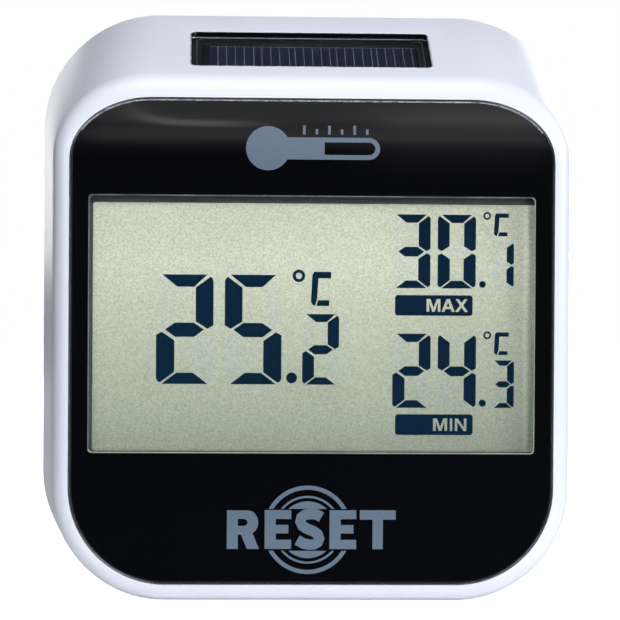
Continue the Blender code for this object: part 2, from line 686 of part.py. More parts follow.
# ============================================================== rear cover
def make_screw(name, x, z, seat_y, shank, head, head_thick, length, drive, steps=16):
    """A pan-head screw whose head rests at seat_y, with a cross recess in it."""
    screw = turned(name,
                   [(shank * 0.35, -length), (shank, -length + shank * 1.2), (shank, 0.0),
                    (head, 0.0), (head, head_thick * 0.6), (head * 0.8, head_thick)],
                   (x, seat_y, z), (0, 1, 0), "nickel", steps)
    top = seat_y + head_thick
    depth = min(DRIVE_DEPTH, head_thick * 0.5)
    long, short = drive / 2, DRIVE_WIDTH / 2
    cross = box(f"{name}_slot", (x - long, top - depth, z - short),
                (x + long, top + OVERSHOOT, z + short))
    upright = box(f"{name}_slot_upright", (x - short, top - depth, z - long),
                   (x + short, top + OVERSHOOT, z + long))
    cut(screw, cross, upright)
    return screw


def make_rear_cover():
    inset = CASE_LIP + GAP
    cover = loft("rear_cover",
                 [wall_slice(COVER_INNER, inset), wall_slice(BACK_Y - COVER_CHAMFER, inset),
                  back_edge(inset + COVER_CHAMFER)], "cover_plastic")
    low_z, high_z = BAY_CENTRE_Z - BAY_HALF_Z, BAY_CENTRE_Z + BAY_HALF_Z
    door_low, door_high = BAY_CENTRE_Z - DOOR_HALF_Z, BAY_CENTRE_Z + DOOR_HALF_Z
    ledge_top = DOOR_INNER - GAP
    ledge_bottom = COVER_INNER - LEDGE_THICK
    reach = GAP + LEDGE_MARGIN
    fuse(cover,
         box("door_ledge", (-DOOR_HALF_X - reach, ledge_bottom, door_low - reach),
             (DOOR_HALF_X + reach, COVER_INNER + OVERSHOOT / 2, door_high + reach)),
         box("bay_shell", (-BAY_HALF_X - BAY_WALL, BAY_FLOOR_Y - BAY_FLOOR, low_z - BAY_WALL),
             (BAY_HALF_X + BAY_WALL, ledge_bottom + OVERSHOOT / 2, high_z + BAY_WALL)))
    for number, (x, z) in enumerate(screw_places()):
        fuse(cover, rod(f"seat_{number}", SEAT_RADIUS, SEAT_INNER,
                        COVER_INNER + OVERSHOOT / 2, x, z))
    guide_radius = BUTTON_FLANGE + GAP + GUIDE_WALL
    fuse(cover, rod("button_guide", guide_radius, COVER_INNER - GUIDE_LENGTH,
                    COVER_INNER + OVERSHOOT / 2, BUTTON_X, BUTTON_Z, steps=24))
    cut(cover,
        box("door_opening", (-DOOR_HALF_X - GAP, ledge_top, HINGE_Z),
            (DOOR_HALF_X + GAP, BACK_Y + OVERSHOOT, door_high + GAP)),
        box("bay_pocket", (-BAY_HALF_X, BAY_FLOOR_Y, low_z),
            (BAY_HALF_X, BACK_Y + OVERSHOOT, high_z)),
        rod("guide_bore", BUTTON_FLANGE + GAP, COVER_INNER - GUIDE_LENGTH - OVERSHOOT,
            COVER_INNER, BUTTON_X, BUTTON_Z, steps=24),
        rod("button_hole", BUTTON_RADIUS + GAP, COVER_INNER - OVERSHOOT,
            BACK_Y + OVERSHOOT, BUTTON_X, BUTTON_Z, steps=24))
    notch_floor = DOOR_INNER - GAP - TONGUE_THICK - TONGUE_SWING
    for number, side in enumerate((-1, 1)):
        left = side * TONGUE_X - TONGUE_WIDTH / 2 - GAP
        right = side * TONGUE_X + TONGUE_WIDTH / 2 + GAP
        cut(cover,
            box(f"notch_under_{number}", (left, notch_floor, HINGE_Z - TONGUE_REACH - 2 * GAP),
                (right, COVER_INNER, HINGE_Z + OVERSHOOT)),
            box(f"notch_{number}", (left, notch_floor, HINGE_Z),
                (right, BACK_Y + OVERSHOOT, HINGE_Z + TONGUE_ROOT + TONGUE_REACH)))
    for number, (x, z) in enumerate(screw_places()):
        head_seat = BACK_Y - HEAD_SINK - HEAD_THICK - GAP
        cut(cover, rod(f"head_pocket_{number}", HEAD_RADIUS + GAP, head_seat,
                       BACK_Y + OVERSHOOT, x, z),
            rod(f"shank_hole_{number}", SHANK_RADIUS + GAP, SEAT_INNER - OVERSHOOT,
                head_seat + OVERSHOOT / 2, x, z, steps=12))
    keyhole_z = CASE_HEIGHT - KEYHOLE_BELOW_TOP
    cut(cover, rod("keyhole_head", KEYHOLE_RADIUS, COVER_INNER - OVERSHOOT,
                   BACK_Y + OVERSHOOT, 0.0, keyhole_z, steps=28),
        box("keyhole_slot", (-KEYHOLE_SLOT_RADIUS, COVER_INNER - OVERSHOOT, keyhole_z),
            (KEYHOLE_SLOT_RADIUS, BACK_Y + OVERSHOOT, keyhole_z + KEYHOLE_RISE)),
        rod("keyhole_end", KEYHOLE_SLOT_RADIUS, COVER_INNER - OVERSHOOT,
            BACK_Y + OVERSHOOT, 0.0, keyhole_z + KEYHOLE_RISE, steps=24))
    for number in range(VENT_COUNT):
        x = (number - (VENT_COUNT - 1) / 2) * VENT_PITCH
        cut(cover, box(f"vent_{number}",
                       (x - VENT_WIDTH / 2, COVER_INNER - OVERSHOOT,
                        VENT_CENTRE_Z - VENT_HEIGHT / 2),
                       (x + VENT_WIDTH / 2, BACK_Y + OVERSHOOT,
                        VENT_CENTRE_Z + VENT_HEIGHT / 2),
                       bevel=VENT_WIDTH * 0.4, axis=1))
    slot_half = PLATE_SIZE / 4 + GAP
    for side in (-1, 1):
        inner = side * (BAY_HALF_X - OVERSHOOT)
        outer = side * (BAY_HALF_X + BAY_WALL + OVERSHOOT)
        cut(cover, box(f"contact_slot_{side}",
                       (min(inner, outer), CELL_Y - PLATE_THICK - GAP,
                        BAY_CENTRE_Z - slot_half),
                       (max(inner, outer), CELL_Y + PLATE_THICK + GAP,
                        BAY_CENTRE_Z + slot_half)))
    seat_y = BACK_Y - HEAD_SINK - HEAD_THICK
    for number, (x, z) in enumerate(screw_places()):
        make_screw(f"cover_screw_{number + 1}", x, z, seat_y, SHANK_RADIUS, HEAD_RADIUS,
                   HEAD_THICK, SCREW_LENGTH, DRIVE_LENGTH)
    return cover


def make_gasket():
    inner = CASE_WALL - GAP / 2
    outer = CASE_LIP + GAP
    front, back = LEDGE_Y + GAP, COVER_INNER - GAP
    loft("housing_gasket", [wall_slice(front, outer), wall_slice(back, outer),
                            wall_slice(back, inner), wall_slice(front, inner)],
         "rubber", closed=True)


# ================================================================= battery
def make_battery():
    negative_x = -BAY_HALF_X + GAP + PLATE_THICK
    cell_start = negative_x + SPRING_LENGTH + GAP
    shoulder = CELL_RADIUS * 0.12
    turned("battery_cell",
           [(CELL_RADIUS * 0.82, 0.0), (CELL_RADIUS - shoulder, 0.0),
            (CELL_RADIUS, shoulder), (CELL_RADIUS, CELL_LENGTH - NUB_LENGTH - shoulder),
            (CELL_RADIUS - shoulder, CELL_LENGTH - NUB_LENGTH),
            (NUB_RADIUS, CELL_LENGTH - NUB_LENGTH), (NUB_RADIUS, CELL_LENGTH)],
           (cell_start, CELL_Y, BAY_CENTRE_Z), (1, 0, 0), "battery_wrap", 24)
    coil_start = negative_x + GAP + SPRING_WIRE
    coil_end = cell_start - GAP - SPRING_WIRE
    tube("battery_spring", helix((coil_start, CELL_Y, BAY_CENTRE_Z),
                                 (coil_end, CELL_Y, BAY_CENTRE_Z),
                                 CELL_RADIUS * 0.72, CELL_RADIUS * 0.38, SPRING_TURNS),
         SPRING_WIRE, "nickel", smooth_steps=0, bevel_resolution=1)
    half = PLATE_SIZE / 2
    tab_half = PLATE_SIZE / 4
    tab_out = BAY_HALF_X + BAY_WALL + CONTACT_TAIL
    for name, side in (("battery_contact_minus", -1), ("battery_contact_plus", 1)):
        outer = side * (BAY_HALF_X - GAP)
        inner = side * (BAY_HALF_X - GAP - PLATE_THICK)
        plate = box(name, (min(outer, inner), CELL_Y - half, BAY_CENTRE_Z - half),
                    (max(outer, inner), CELL_Y + half, BAY_CENTRE_Z + half), "nickel")
        end = side * tab_out
        fuse(plate, box(f"{name}_tab",
                        (min(inner, end), CELL_Y - PLATE_THICK / 2, BAY_CENTRE_Z - tab_half),
                        (max(inner, end), CELL_Y + PLATE_THICK / 2, BAY_CENTRE_Z + tab_half)))
    for name, side in (("battery_wire_black", -1), ("battery_wire_red", 1)):
        x = side * (tab_out - WIRE_RADIUS - GAP / 2)
        start_y = CELL_Y - PLATE_THICK / 2 - GAP
        land_y = BOARD_BACK + GAP
        middle = (start_y + land_y) / 2
        tube(name, [(x, start_y, BAY_CENTRE_Z), (x, start_y - 0.0012, BAY_CENTRE_Z),
                    (x + side * 0.0006, middle, BAY_CENTRE_Z + 0.0008),
                    (x, land_y + 0.0012, BAY_CENTRE_Z), (x, land_y, BAY_CENTRE_Z)],
             WIRE_RADIUS, name.replace("battery_", ""), smooth_steps=5)


def make_battery_door():
    """The door's origin lies on its hinge line, at the cover's outer face."""
    hinge = Vector((0.0, BACK_Y, HINGE_Z))
    low, high = GAP, GAP + 2 * DOOR_HALF_Z
    door = box("battery_door", (-DOOR_HALF_X, -DOOR_THICK, low), (DOOR_HALF_X, 0.0, high),
               "cover_plastic", 0.0003)
    under = COVER_INNER - BACK_Y - GAP
    for number, side in enumerate((-1, 1)):
        left = side * TONGUE_X - TONGUE_WIDTH / 2
        right = side * TONGUE_X + TONGUE_WIDTH / 2
        tongue = box(f"tongue_{number}", (left, under - TONGUE_THICK, -TONGUE_REACH),
                     (right, under, TONGUE_ROOT))
        riser = box(f"tongue_root_{number}",
                    (left, under - OVERSHOOT / 2, low + GAP),
                    (right, -DOOR_THICK / 2, TONGUE_ROOT))
        fuse(tongue, riser)
        fuse(door, tongue)
    half = LATCH_WIDTH / 2
    for number, side in enumerate((-1, 1)):
        x = side * half
        cut(door, box(f"latch_slot_{number}", (x - TAB_SLOT / 2, -DOOR_THICK - OVERSHOOT,
                                               high - LATCH_DEPTH),
                      (x + TAB_SLOT / 2, OVERSHOOT, high + OVERSHOOT)))
    for number in range(GRIP_COUNT):
        z = high - GRIP_PITCH * (number + 1)
        cut(door, box(f"grip_{number}", (-half * 0.6, -DOOR_THICK * 0.25, z - GRIP_WIDTH / 2),
                      (half * 0.6, OVERSHOOT, z + GRIP_WIDTH / 2)))
    door.location = hinge
    for modifier in door.modifiers:
        place_with(modifier.object, hinge)
    return door


def place_with(tool, place):
    """Moves a cutter, and the tools that shape it, by the same amount."""
    tool.location = place
    for modifier in tool.modifiers:
        if modifier.type == "BOOLEAN":
            place_with(modifier.object, place)


# ================================================================== button
def make_button():
    """The unit button's stem meets the plunger of a switch on the board."""
    switch_front = BOARD_BACK + GAP
    switch_back = switch_front + SWITCH_HEIGHT
    half = SWITCH_SIZE / 2
    bore_floor = switch_back - BUTTON_TRAVEL - 4 * GAP
    switch = box("tact_switch", (BUTTON_X - half, switch_front, BUTTON_Z - half),
                 (BUTTON_X + half, switch_back, BUTTON_Z + half), "frame_plastic", 0.0003)
    cut(switch, rod("plunger_bore", PLUNGER_RADIUS + GAP, bore_floor,
                    switch_back + OVERSHOOT, BUTTON_X, BUTTON_Z))
    plunger_front = bore_floor + BUTTON_TRAVEL + GAP
    plunger_back = switch_back + PLUNGER_PROUD
    rod("switch_plunger", PLUNGER_RADIUS, plunger_front, plunger_back, BUTTON_X, BUTTON_Z,
        "button_grey")
    stem_front = plunger_back + GAP
    flange_back = COVER_INNER - GAP
    flange_front = flange_back - BUTTON_FLANGE_THICK
    cap_back = BACK_Y - BUTTON_SINK
    dish = BUTTON_RADIUS * 0.15
    turned("unit_button",
           [(BUTTON_STEM, stem_front), (BUTTON_STEM, flange_front),
            (BUTTON_FLANGE, flange_front), (BUTTON_FLANGE, flange_back),
            (BUTTON_RADIUS, flange_back), (BUTTON_RADIUS, cap_back - dish),
            (BUTTON_RADIUS - dish, cap_back)],
           (BUTTON_X, 0.0, BUTTON_Z), (0, 1, 0), "button_grey", 24)


def main():
    clear_scene()
    make_front_housing()
    make_front_panel()
    make_display()
    make_board()
    make_touch_key()
    make_thermistor()
    make_solar()
    make_rear_cover()
    make_gasket()
    make_battery()
    make_battery_door()
    make_button()


main()
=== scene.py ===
# %% [markdown]
# # A solar maximum and minimum thermometer
# The thermometer is a white plastic case with a glossy black front, a display,
# a small solar window in its sloping top and a cover with a battery door behind.
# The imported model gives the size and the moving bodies. This lesson builds the
# visible skin round it, piece by piece, and gives every piece its finish.

# %% Load the fixed frame
import math

import bmesh
import bpy
from mathutils import Matrix, Vector


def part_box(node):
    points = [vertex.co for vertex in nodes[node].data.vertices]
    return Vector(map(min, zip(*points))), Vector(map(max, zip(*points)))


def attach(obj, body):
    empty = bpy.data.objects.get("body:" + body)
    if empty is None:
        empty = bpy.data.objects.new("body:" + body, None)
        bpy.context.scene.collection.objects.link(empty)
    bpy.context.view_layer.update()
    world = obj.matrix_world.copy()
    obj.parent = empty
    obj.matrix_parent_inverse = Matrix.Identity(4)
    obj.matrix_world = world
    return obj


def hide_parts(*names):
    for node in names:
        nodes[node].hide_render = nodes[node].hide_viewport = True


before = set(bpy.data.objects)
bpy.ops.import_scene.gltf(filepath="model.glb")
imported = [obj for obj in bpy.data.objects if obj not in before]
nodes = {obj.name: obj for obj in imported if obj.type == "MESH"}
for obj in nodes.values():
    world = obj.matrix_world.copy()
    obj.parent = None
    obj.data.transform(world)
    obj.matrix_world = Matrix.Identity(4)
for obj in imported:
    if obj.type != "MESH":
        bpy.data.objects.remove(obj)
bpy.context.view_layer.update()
MM = 0.001

# %% [markdown]
# ## Helpers for working by hand
# Every operator acts on whatever is selected, so each helper first selects one
# piece alone. A closed skin is made as it would be by hand: one loop of points
# is laid out, then extruded again and again, each time moved to the next
# outline. That suits this case better than a bevelled box, because its front
# and back outlines have different corners and the wall runs straight between.

# %% Select one piece, leave edit mode
def deselect():
    if bpy.context.mode != "OBJECT":
        bpy.ops.object.mode_set(mode="OBJECT")
    bpy.ops.object.select_all(action="DESELECT")


def only(*pieces):
    deselect()
    for piece in pieces:
        piece.select_set(True)
    bpy.context.view_layer.objects.active = pieces[0]


def edit_all(piece):
    """Enters edit mode on one piece, with all of it selected."""
    only(piece)
    bpy.ops.object.mode_set(mode="EDIT")
    bpy.ops.mesh.select_all(action="SELECT")


def turn_outward():
    """Turns every face of the piece in hand outwards, and leaves edit mode."""
    bpy.ops.mesh.select_all(action="SELECT")
    bpy.ops.mesh.normals_make_consistent(inside=False)
    bpy.ops.object.mode_set(mode="OBJECT")


def named(piece, name):
    piece.name = name
    piece.data.name = name
    return piece


# %% Extrude a loop of points from outline to outline
def cap(style):
    """Closes the selected loop with one face, or with rungs between its two sides."""
    if style == "flat":
        bpy.ops.mesh.edge_face_add()
        return
    shape = bmesh.from_edit_mesh(bpy.context.object.data)
    for edge in shape.edges:
        ends = [v.co.x for v in edge.verts]
        if edge.select and ends[0] * ends[1] < 0:
            edge.select_set(False)
    shape.select_mode = {"EDGE"}
    shape.select_flush_mode()
    bmesh.update_edit_mesh(bpy.context.object.data)
    bpy.ops.mesh.bridge_edge_loops()


def select_open_edges(piece):
    bpy.ops.mesh.select_all(action="DESELECT")
    shape = bmesh.from_edit_mesh(piece.data)
    for edge in shape.edges:
        edge.select_set(edge.is_boundary)
    bmesh.update_edit_mesh(piece.data)


def skin(name, rings, ends="flat"):
    """A closed skin through rings of equal count. Ends: flat, ladder, or joined."""
    deselect()
    bpy.ops.mesh.primitive_circle_add(vertices=len(rings[0]), radius=0.01)
    piece = named(bpy.context.object, name)
    for vertex, point in zip(piece.data.vertices, rings[0]):
        vertex.co = point
    edit_all(piece)
    bpy.ops.mesh.select_mode(type="EDGE")
    shape = bmesh.from_edit_mesh(piece.data)
    order = {tuple(v.co): i for i, v in enumerate(shape.verts)}
    for ring in rings[1:]:
        bpy.ops.mesh.extrude_edges_indiv()
        shape = bmesh.from_edit_mesh(piece.data)
        laid = {}
        for vertex in shape.verts:
            if vertex.select:
                spot = order[tuple(vertex.co)]
                vertex.co = ring[spot]
                laid[tuple(vertex.co)] = spot
        order = laid
        bmesh.update_edit_mesh(piece.data)
    if ends == "joined":
        select_open_edges(piece)
        bpy.ops.mesh.bridge_edge_loops()
    else:
        cap(ends)
        select_open_edges(piece)
        cap(ends)
    turn_outward()
    return piece


# %% Blocks, cuts, joins, softened edges
def block(name, low, high):
    """A cube at its size and place: a cutter, or the start of a piece."""
    deselect()
    low, high = Vector(low), Vector(high)
    bpy.ops.mesh.primitive_cube_add(size=1.0, location=(low + high) / 2)
    piece = named(bpy.context.object, name)
    piece.scale = high - low
    bpy.ops.object.transform_apply(location=True, rotation=True, scale=True)
    return piece


def applied(piece, kind, **settings):
    only(piece)
    modifier = piece.modifiers.new(kind.lower(), kind)
    for key, value in settings.items():
        setattr(modifier, key, value)
    bpy.ops.object.modifier_apply(modifier=modifier.name)


def carve(piece, *cutters, operation="DIFFERENCE"):
    for cutter in cutters:
        applied(piece, "BOOLEAN", operation=operation, solver="EXACT", object=cutter)
        bpy.data.objects.remove(cutter, do_unlink=True)


def weld_on(piece, *parts):
    carve(piece, *parts, operation="UNION")


def soften(piece, width, segments):
    """Bevels every edge sharper than 35 degrees."""
    applied(piece, "BEVEL", width=width, segments=segments, limit_method="ANGLE",
            angle_limit=math.radians(35.0), use_clamp_overlap=True)


def smooth(piece, angle=32.0):
    only(piece)
    bpy.ops.object.shade_smooth_by_angle(angle=math.radians(angle))


def joined(name, pieces):
    only(*pieces)
    if len(pieces) > 1:
        bpy.ops.object.join()
    return named(bpy.context.object, name)


# %% Flat outlines and turned profiles
def at_depth(outline, y):
    return [Vector((x, y, z)) for x, z in outline]


def lengthwise(outline, x):
    return [Vector((x, y, z)) for y, z in outline]


def rounded_box(x, z, half_x, half_z, radius, grow=0.0, steps=5):
    """Points round a rectangle with round corners, in the XZ plane."""
    half_x, half_z, radius = half_x + grow, half_z + grow, radius + max(grow, 0.0)
    points = []
    for quarter, (sx, sz) in enumerate(((1, 1), (-1, 1), (-1, -1), (1, -1))):
        for step in range(steps + 1):
            angle = math.pi / 2 * (quarter + step / steps)
            points.append((x + sx * (half_x - radius) + radius * math.cos(angle),
                           z + sz * (half_z - radius) + radius * math.sin(angle)))
    return points


def circle(x, z, radius, steps=32):
    return [(x + radius * math.cos(2 * math.pi * i / steps),
             z + radius * math.sin(2 * math.pi * i / steps)) for i in range(steps)]


def turned(name, profile, x, z, steps=32, laid=at_depth):
    """A round piece through (radius, place) pairs along Y, or lengthwise along X."""
    return skin(name, [laid(circle(x, z, radius, steps), place) for radius, place in profile])


def in_mm(profile, start):
    """Radius and place pairs in millimetres, with the places counted from start."""
    return [(radius * MM, start + place * MM) for radius, place in profile]


def flared(name, outline, start, mouth, chamfer):
    """A cutter along Y that widens at its mouth and leaves a chamfered edge."""
    way = 1 if mouth > start else -1
    run = 0.4 * MM
    return skin(name, [at_depth(outline(0.0), start),
                       at_depth(outline(0.0), mouth - way * chamfer),
                       at_depth(outline(chamfer + run), mouth + way * run)])


print("helpers ready")

# %% [markdown]
# ## The case outlines
# The case is drawn by two outlines: a front edge that curves back at the top,
# and a larger back edge. The wall is ruled between them. These numbers repeat
# the model's own drawing, and the print below shows the size of its box.

# %% Case sizes
CASE_WIDTH, CASE_HEIGHT, CASE_DEPTH = 92.0 * MM, 100.0 * MM, 25.0 * MM
FRONT_Y, BACK_Y = -CASE_DEPTH / 2, CASE_DEPTH / 2
BACK_CORNER = 20.2 * MM
FRONT_HALF = CASE_WIDTH / 2 - 3.0 * MM
FRONT_TOP = CASE_HEIGHT - 13.0 * MM
FRONT_CORNER, TOP_CORNER_X, TOP_CORNER_Z = 18.7 * MM, 16.3 * MM, 13.5 * MM
RIM_SIDE, RIM_BOTTOM, RIM_TOP = 2.5 * MM, 2.7 * MM, 3.1 * MM
PANEL_TOP = FRONT_TOP - RIM_TOP
BEND_START, BEND_RADIUS = PANEL_TOP - 11.2 * MM, 36.0 * MM
GAP = 0.3 * MM
NOSE_DEPTH, BACK_EDGE = 2.6 * MM, 0.6 * MM
CASE_WALL, CASE_LIP = 2.2 * MM, 1.1 * MM
CORNER_STEPS, NOSE_STEPS = 22, 12
PANEL_FRONT = FRONT_Y + 0.3 * MM
PANEL_BACK = PANEL_FRONT + 1.2 * MM
FLOOR_FRONT = PANEL_BACK + GAP
FLOOR_BACK = FLOOR_FRONT + 1.7 * MM
COVER_INNER = BACK_Y - 2.0 * MM
LEDGE_Y = COVER_INNER - 1.3 * MM


# %% Outlines at any depth
def both_sides(points):
    """A whole ring from its right-hand half."""
    return points + [Vector((-p.x, p.y, p.z)) for p in reversed(points)]


def half_outline(half_width, low, high, low_radius, high_x, high_z):
    points = []
    for step in range(CORNER_STEPS + 1):
        turn = math.pi / 2 * step / CORNER_STEPS
        points.append((half_width - low_radius + low_radius * math.sin(turn),
                       low + low_radius - low_radius * math.cos(turn)))
    for step in range(CORNER_STEPS + 1):
        turn = math.pi / 2 * step / CORNER_STEPS
        points.append((half_width - high_x + high_x * math.cos(turn),
                       high - high_z + high_z * math.sin(turn)))
    return points


def bend_back(z):
    rise = max(0.0, z - BEND_START)
    return BEND_RADIUS - math.sqrt(BEND_RADIUS ** 2 - rise ** 2)


def front_half(inset=0.0):
    outline = half_outline(FRONT_HALF - inset, inset, FRONT_TOP - inset, FRONT_CORNER - inset,
                           TOP_CORNER_X - inset, TOP_CORNER_Z - inset)
    return [Vector((x, FRONT_Y + bend_back(z), z)) for x, z in outline]


def back_half(inset=0.0):
    radius = BACK_CORNER - inset
    outline = half_outline(CASE_WIDTH / 2 - inset, inset, CASE_HEIGHT - inset,
                           radius, radius, radius)
    return [Vector((x, BACK_Y, z)) for x, z in outline]


def panel_half(inset=0.0, y=FRONT_Y):
    side = RIM_SIDE + inset
    outline = half_outline(FRONT_HALF - side, RIM_BOTTOM + inset, PANEL_TOP - inset,
                           FRONT_CORNER - side, TOP_CORNER_X - side,
                           TOP_CORNER_Z - RIM_TOP - inset)
    return [Vector((x, y + bend_back(z), z)) for x, z in outline]


def wall_half(y, inset=0.0, bent=False):
    half = []
    for front, back in zip(front_half(inset), back_half(inset)):
        depth = y + (bend_back(front.z) if bent else 0.0)
        half.append(front.lerp(back, (depth - front.y) / (back.y - front.y)))
    return half


low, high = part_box("front_housing")
print("case in the model", [round(v / MM, 2) for v in high - low])

# %% [markdown]
# ## Camera and studio
# The camera stands a little left of the middle, almost level, with a long
# lens. A gloss black panel shows the room, so the room in front is dark and
# the lights stand above and to the sides, where the flat panel can't see them.
# Only the curved top of the panel sees the narrow strip above the camera.

# %% Camera
AIM = Vector((-0.40 * MM, FRONT_Y, 48.56 * MM))
AZIMUTH, ELEVATION, ROLL = math.radians(-2.473), math.radians(0.595), math.radians(0.358)
DISTANCE = 440.6 * MM

FOCAL_LENGTH, FILM_WIDTH = 153.7, 36.0


def way_to(azimuth, elevation):
    """The unit vector towards a place in the studio, from angles in radians."""
    return Vector((math.sin(azimuth) * math.cos(elevation),
                   -math.cos(azimuth) * math.cos(elevation), math.sin(elevation)))


bpy.ops.object.camera_add()
camera = bpy.context.object
camera.data.lens, camera.data.sensor_width = FOCAL_LENGTH, FILM_WIDTH
backward = way_to(AZIMUTH, ELEVATION)
right = Vector((0, 0, 1)).cross(backward).normalized()
upward = backward.cross(right)
rolled_right = right * math.cos(ROLL) + upward * math.sin(ROLL)
rolled_up = upward * math.cos(ROLL) - right * math.sin(ROLL)
camera.matrix_world = Matrix.Translation(AIM + backward * DISTANCE) @ Matrix(
    (rolled_right, rolled_up, backward)).transposed().to_4x4()
camera.data.clip_start, camera.data.clip_end = 0.01, 20.0
bpy.context.scene.camera = camera
bpy.context.scene.view_settings.view_transform = "Standard"


# %% Lights: azimuth and elevation in degrees, side in metres, power in watts
PLAIN, COOL = (1.0, 1.0, 1.0), (0.94, 0.96, 1.0)
LAMPS = (("key_front", 22, 24, 0.30, 3.0, PLAIN), ("side_right", 60, 15, 0.30, 4.4, PLAIN),
         ("top_soft", 0, 75, 0.30, 3.0, PLAIN), ("low_bounce", 24, -14, 0.30, 1.9, PLAIN),
         ("fill_left", -22, 15, 0.30, 2.5, COOL), ("back_right", 158, 10, 0.50, 3.6, PLAIN),
         ("back_left", 192, 12, 0.40, 1.8, PLAIN))
LAMP_FAR, LAMP_AIM = 1.0, Vector((0, 0, 50 * MM))

deselect()
for name, azimuth, elevation, side, watts, colour in LAMPS:
    bpy.ops.object.light_add(type="AREA")
    lamp = bpy.context.object
    lamp.name = name
    lamp.data.shape = "RECTANGLE"
    lamp.data.size = lamp.data.size_y = side
    lamp.data.energy, lamp.data.color = watts, colour
    way = way_to(math.radians(azimuth), math.radians(elevation))
    lamp.location = LAMP_AIM + way * LAMP_FAR
    lamp.rotation_euler = (-way).to_track_quat("-Z", "Y").to_euler()

# %% Room and floor
world = bpy.data.worlds.new("studio")
bpy.context.scene.world = world
world.use_nodes = True
room = world.node_tree
seen = room.nodes["Background"]
seen.inputs["Color"].default_value = (1.0, 1.0, 1.0, 1.0)
seen.inputs["Strength"].default_value = 1.0
dim = room.nodes.new("ShaderNodeBackground")
dim.inputs["Color"].default_value = (0.80, 0.87, 1.0, 1.0)
dim.inputs["Strength"].default_value = 0.04
path = room.nodes.new("ShaderNodeLightPath")
mix = room.nodes.new("ShaderNodeMixShader")
room.links.new(path.outputs["Is Camera Ray"], mix.inputs["Fac"])
room.links.new(dim.outputs["Background"], mix.inputs[1])
room.links.new(seen.outputs["Background"], mix.inputs[2])
room.links.new(mix.outputs["Shader"], room.nodes["World Output"].inputs["Surface"])

FLOOR_X, FLOOR_Y, FLOOR_CORNER, FLOOR_THICK = 1.2, 0.9, 0.2, 0.004
floor = skin("floor", [at_depth(rounded_box(0, 0, FLOOR_X, FLOOR_Y, FLOOR_CORNER), depth)
                       for depth in (0.0, -FLOOR_THICK)])
for vertex in floor.data.vertices:
    x, y, z = vertex.co
    vertex.co = (x, z + FLOOR_Y - 35 * MM, y - 0.02 * MM)    # laid flat, a hair below the foot
edit_all(floor)
turn_outward()

# %% Reflector card
# The curved top of the panel shows what hangs above the camera: a soft card,
# even and pale at the top, with one bright curved streak and a faded foot.
CARD_WAY, CARD_FAR = math.radians(22.0), 1.0
CARD_X, EYE_Z = 43 * MM, 80 * MM
card_up = Vector((0, math.sin(CARD_WAY), math.cos(CARD_WAY)))
card_out = Vector((0, -math.cos(CARD_WAY), math.sin(CARD_WAY)))
card_middle = Vector((CARD_X, 0, EYE_Z)) + card_out * CARD_FAR
card = skin("reflector_card", [[card_middle + Vector((x, 0, 0)) + card_up * z + card_out * deep
                                for x, z in rounded_box(0, 0, 0.19, 0.34, 0.05)]
                               for deep in (0.0, 0.004)])
card.visible_camera = False
print("studio ready")

# %% [markdown]
# ## Finishes
# Moulded plastic is never one flat colour: it has a fine spark-eroded grain, a
# slight mottle, and its gloss wanders a little. One node group holds that
# effect, and each finish places it with its own values. It reads Object
# coordinates, which are metres on every piece here.

# %% Nodes that reckon with numbers
def calc(tree, operation, *values):
    """A Math node on numbers or sockets, and its output."""
    node = tree.nodes.new("ShaderNodeMath")
    node.operation = operation
    for socket, value in zip(node.inputs, values):
        if isinstance(value, (int, float)):
            socket.default_value = value
        else:
            tree.links.new(value, socket)
    return node.outputs[0]


def ease(tree, value, start, end, low=0.0, high=1.0):
    """Carries a value smoothly from low to high as it runs from start to end."""
    node = tree.nodes.new("ShaderNodeMapRange")
    node.interpolation_type = "SMOOTHSTEP"
    for label, number in (("From Min", start), ("From Max", end), ("To Min", low),
                          ("To Max", high)):
        node.inputs[label].default_value = number
    tree.links.new(value, node.inputs["Value"])
    return node.outputs["Result"]


def colour_ramp(tree, value, stops):
    """A ramp through (place, colour) stops, read at a value, and its output."""
    ramp = tree.nodes.new("ShaderNodeValToRGB")
    tree.links.new(value, ramp.inputs["Fac"])
    line = ramp.color_ramp.elements
    while len(line) < len(stops):
        line.new(0.5)
    for element, (spot, colour) in zip(line, stops):
        element.position, element.color = spot, (*colour, 1.0)
    return ramp.outputs["Color"]


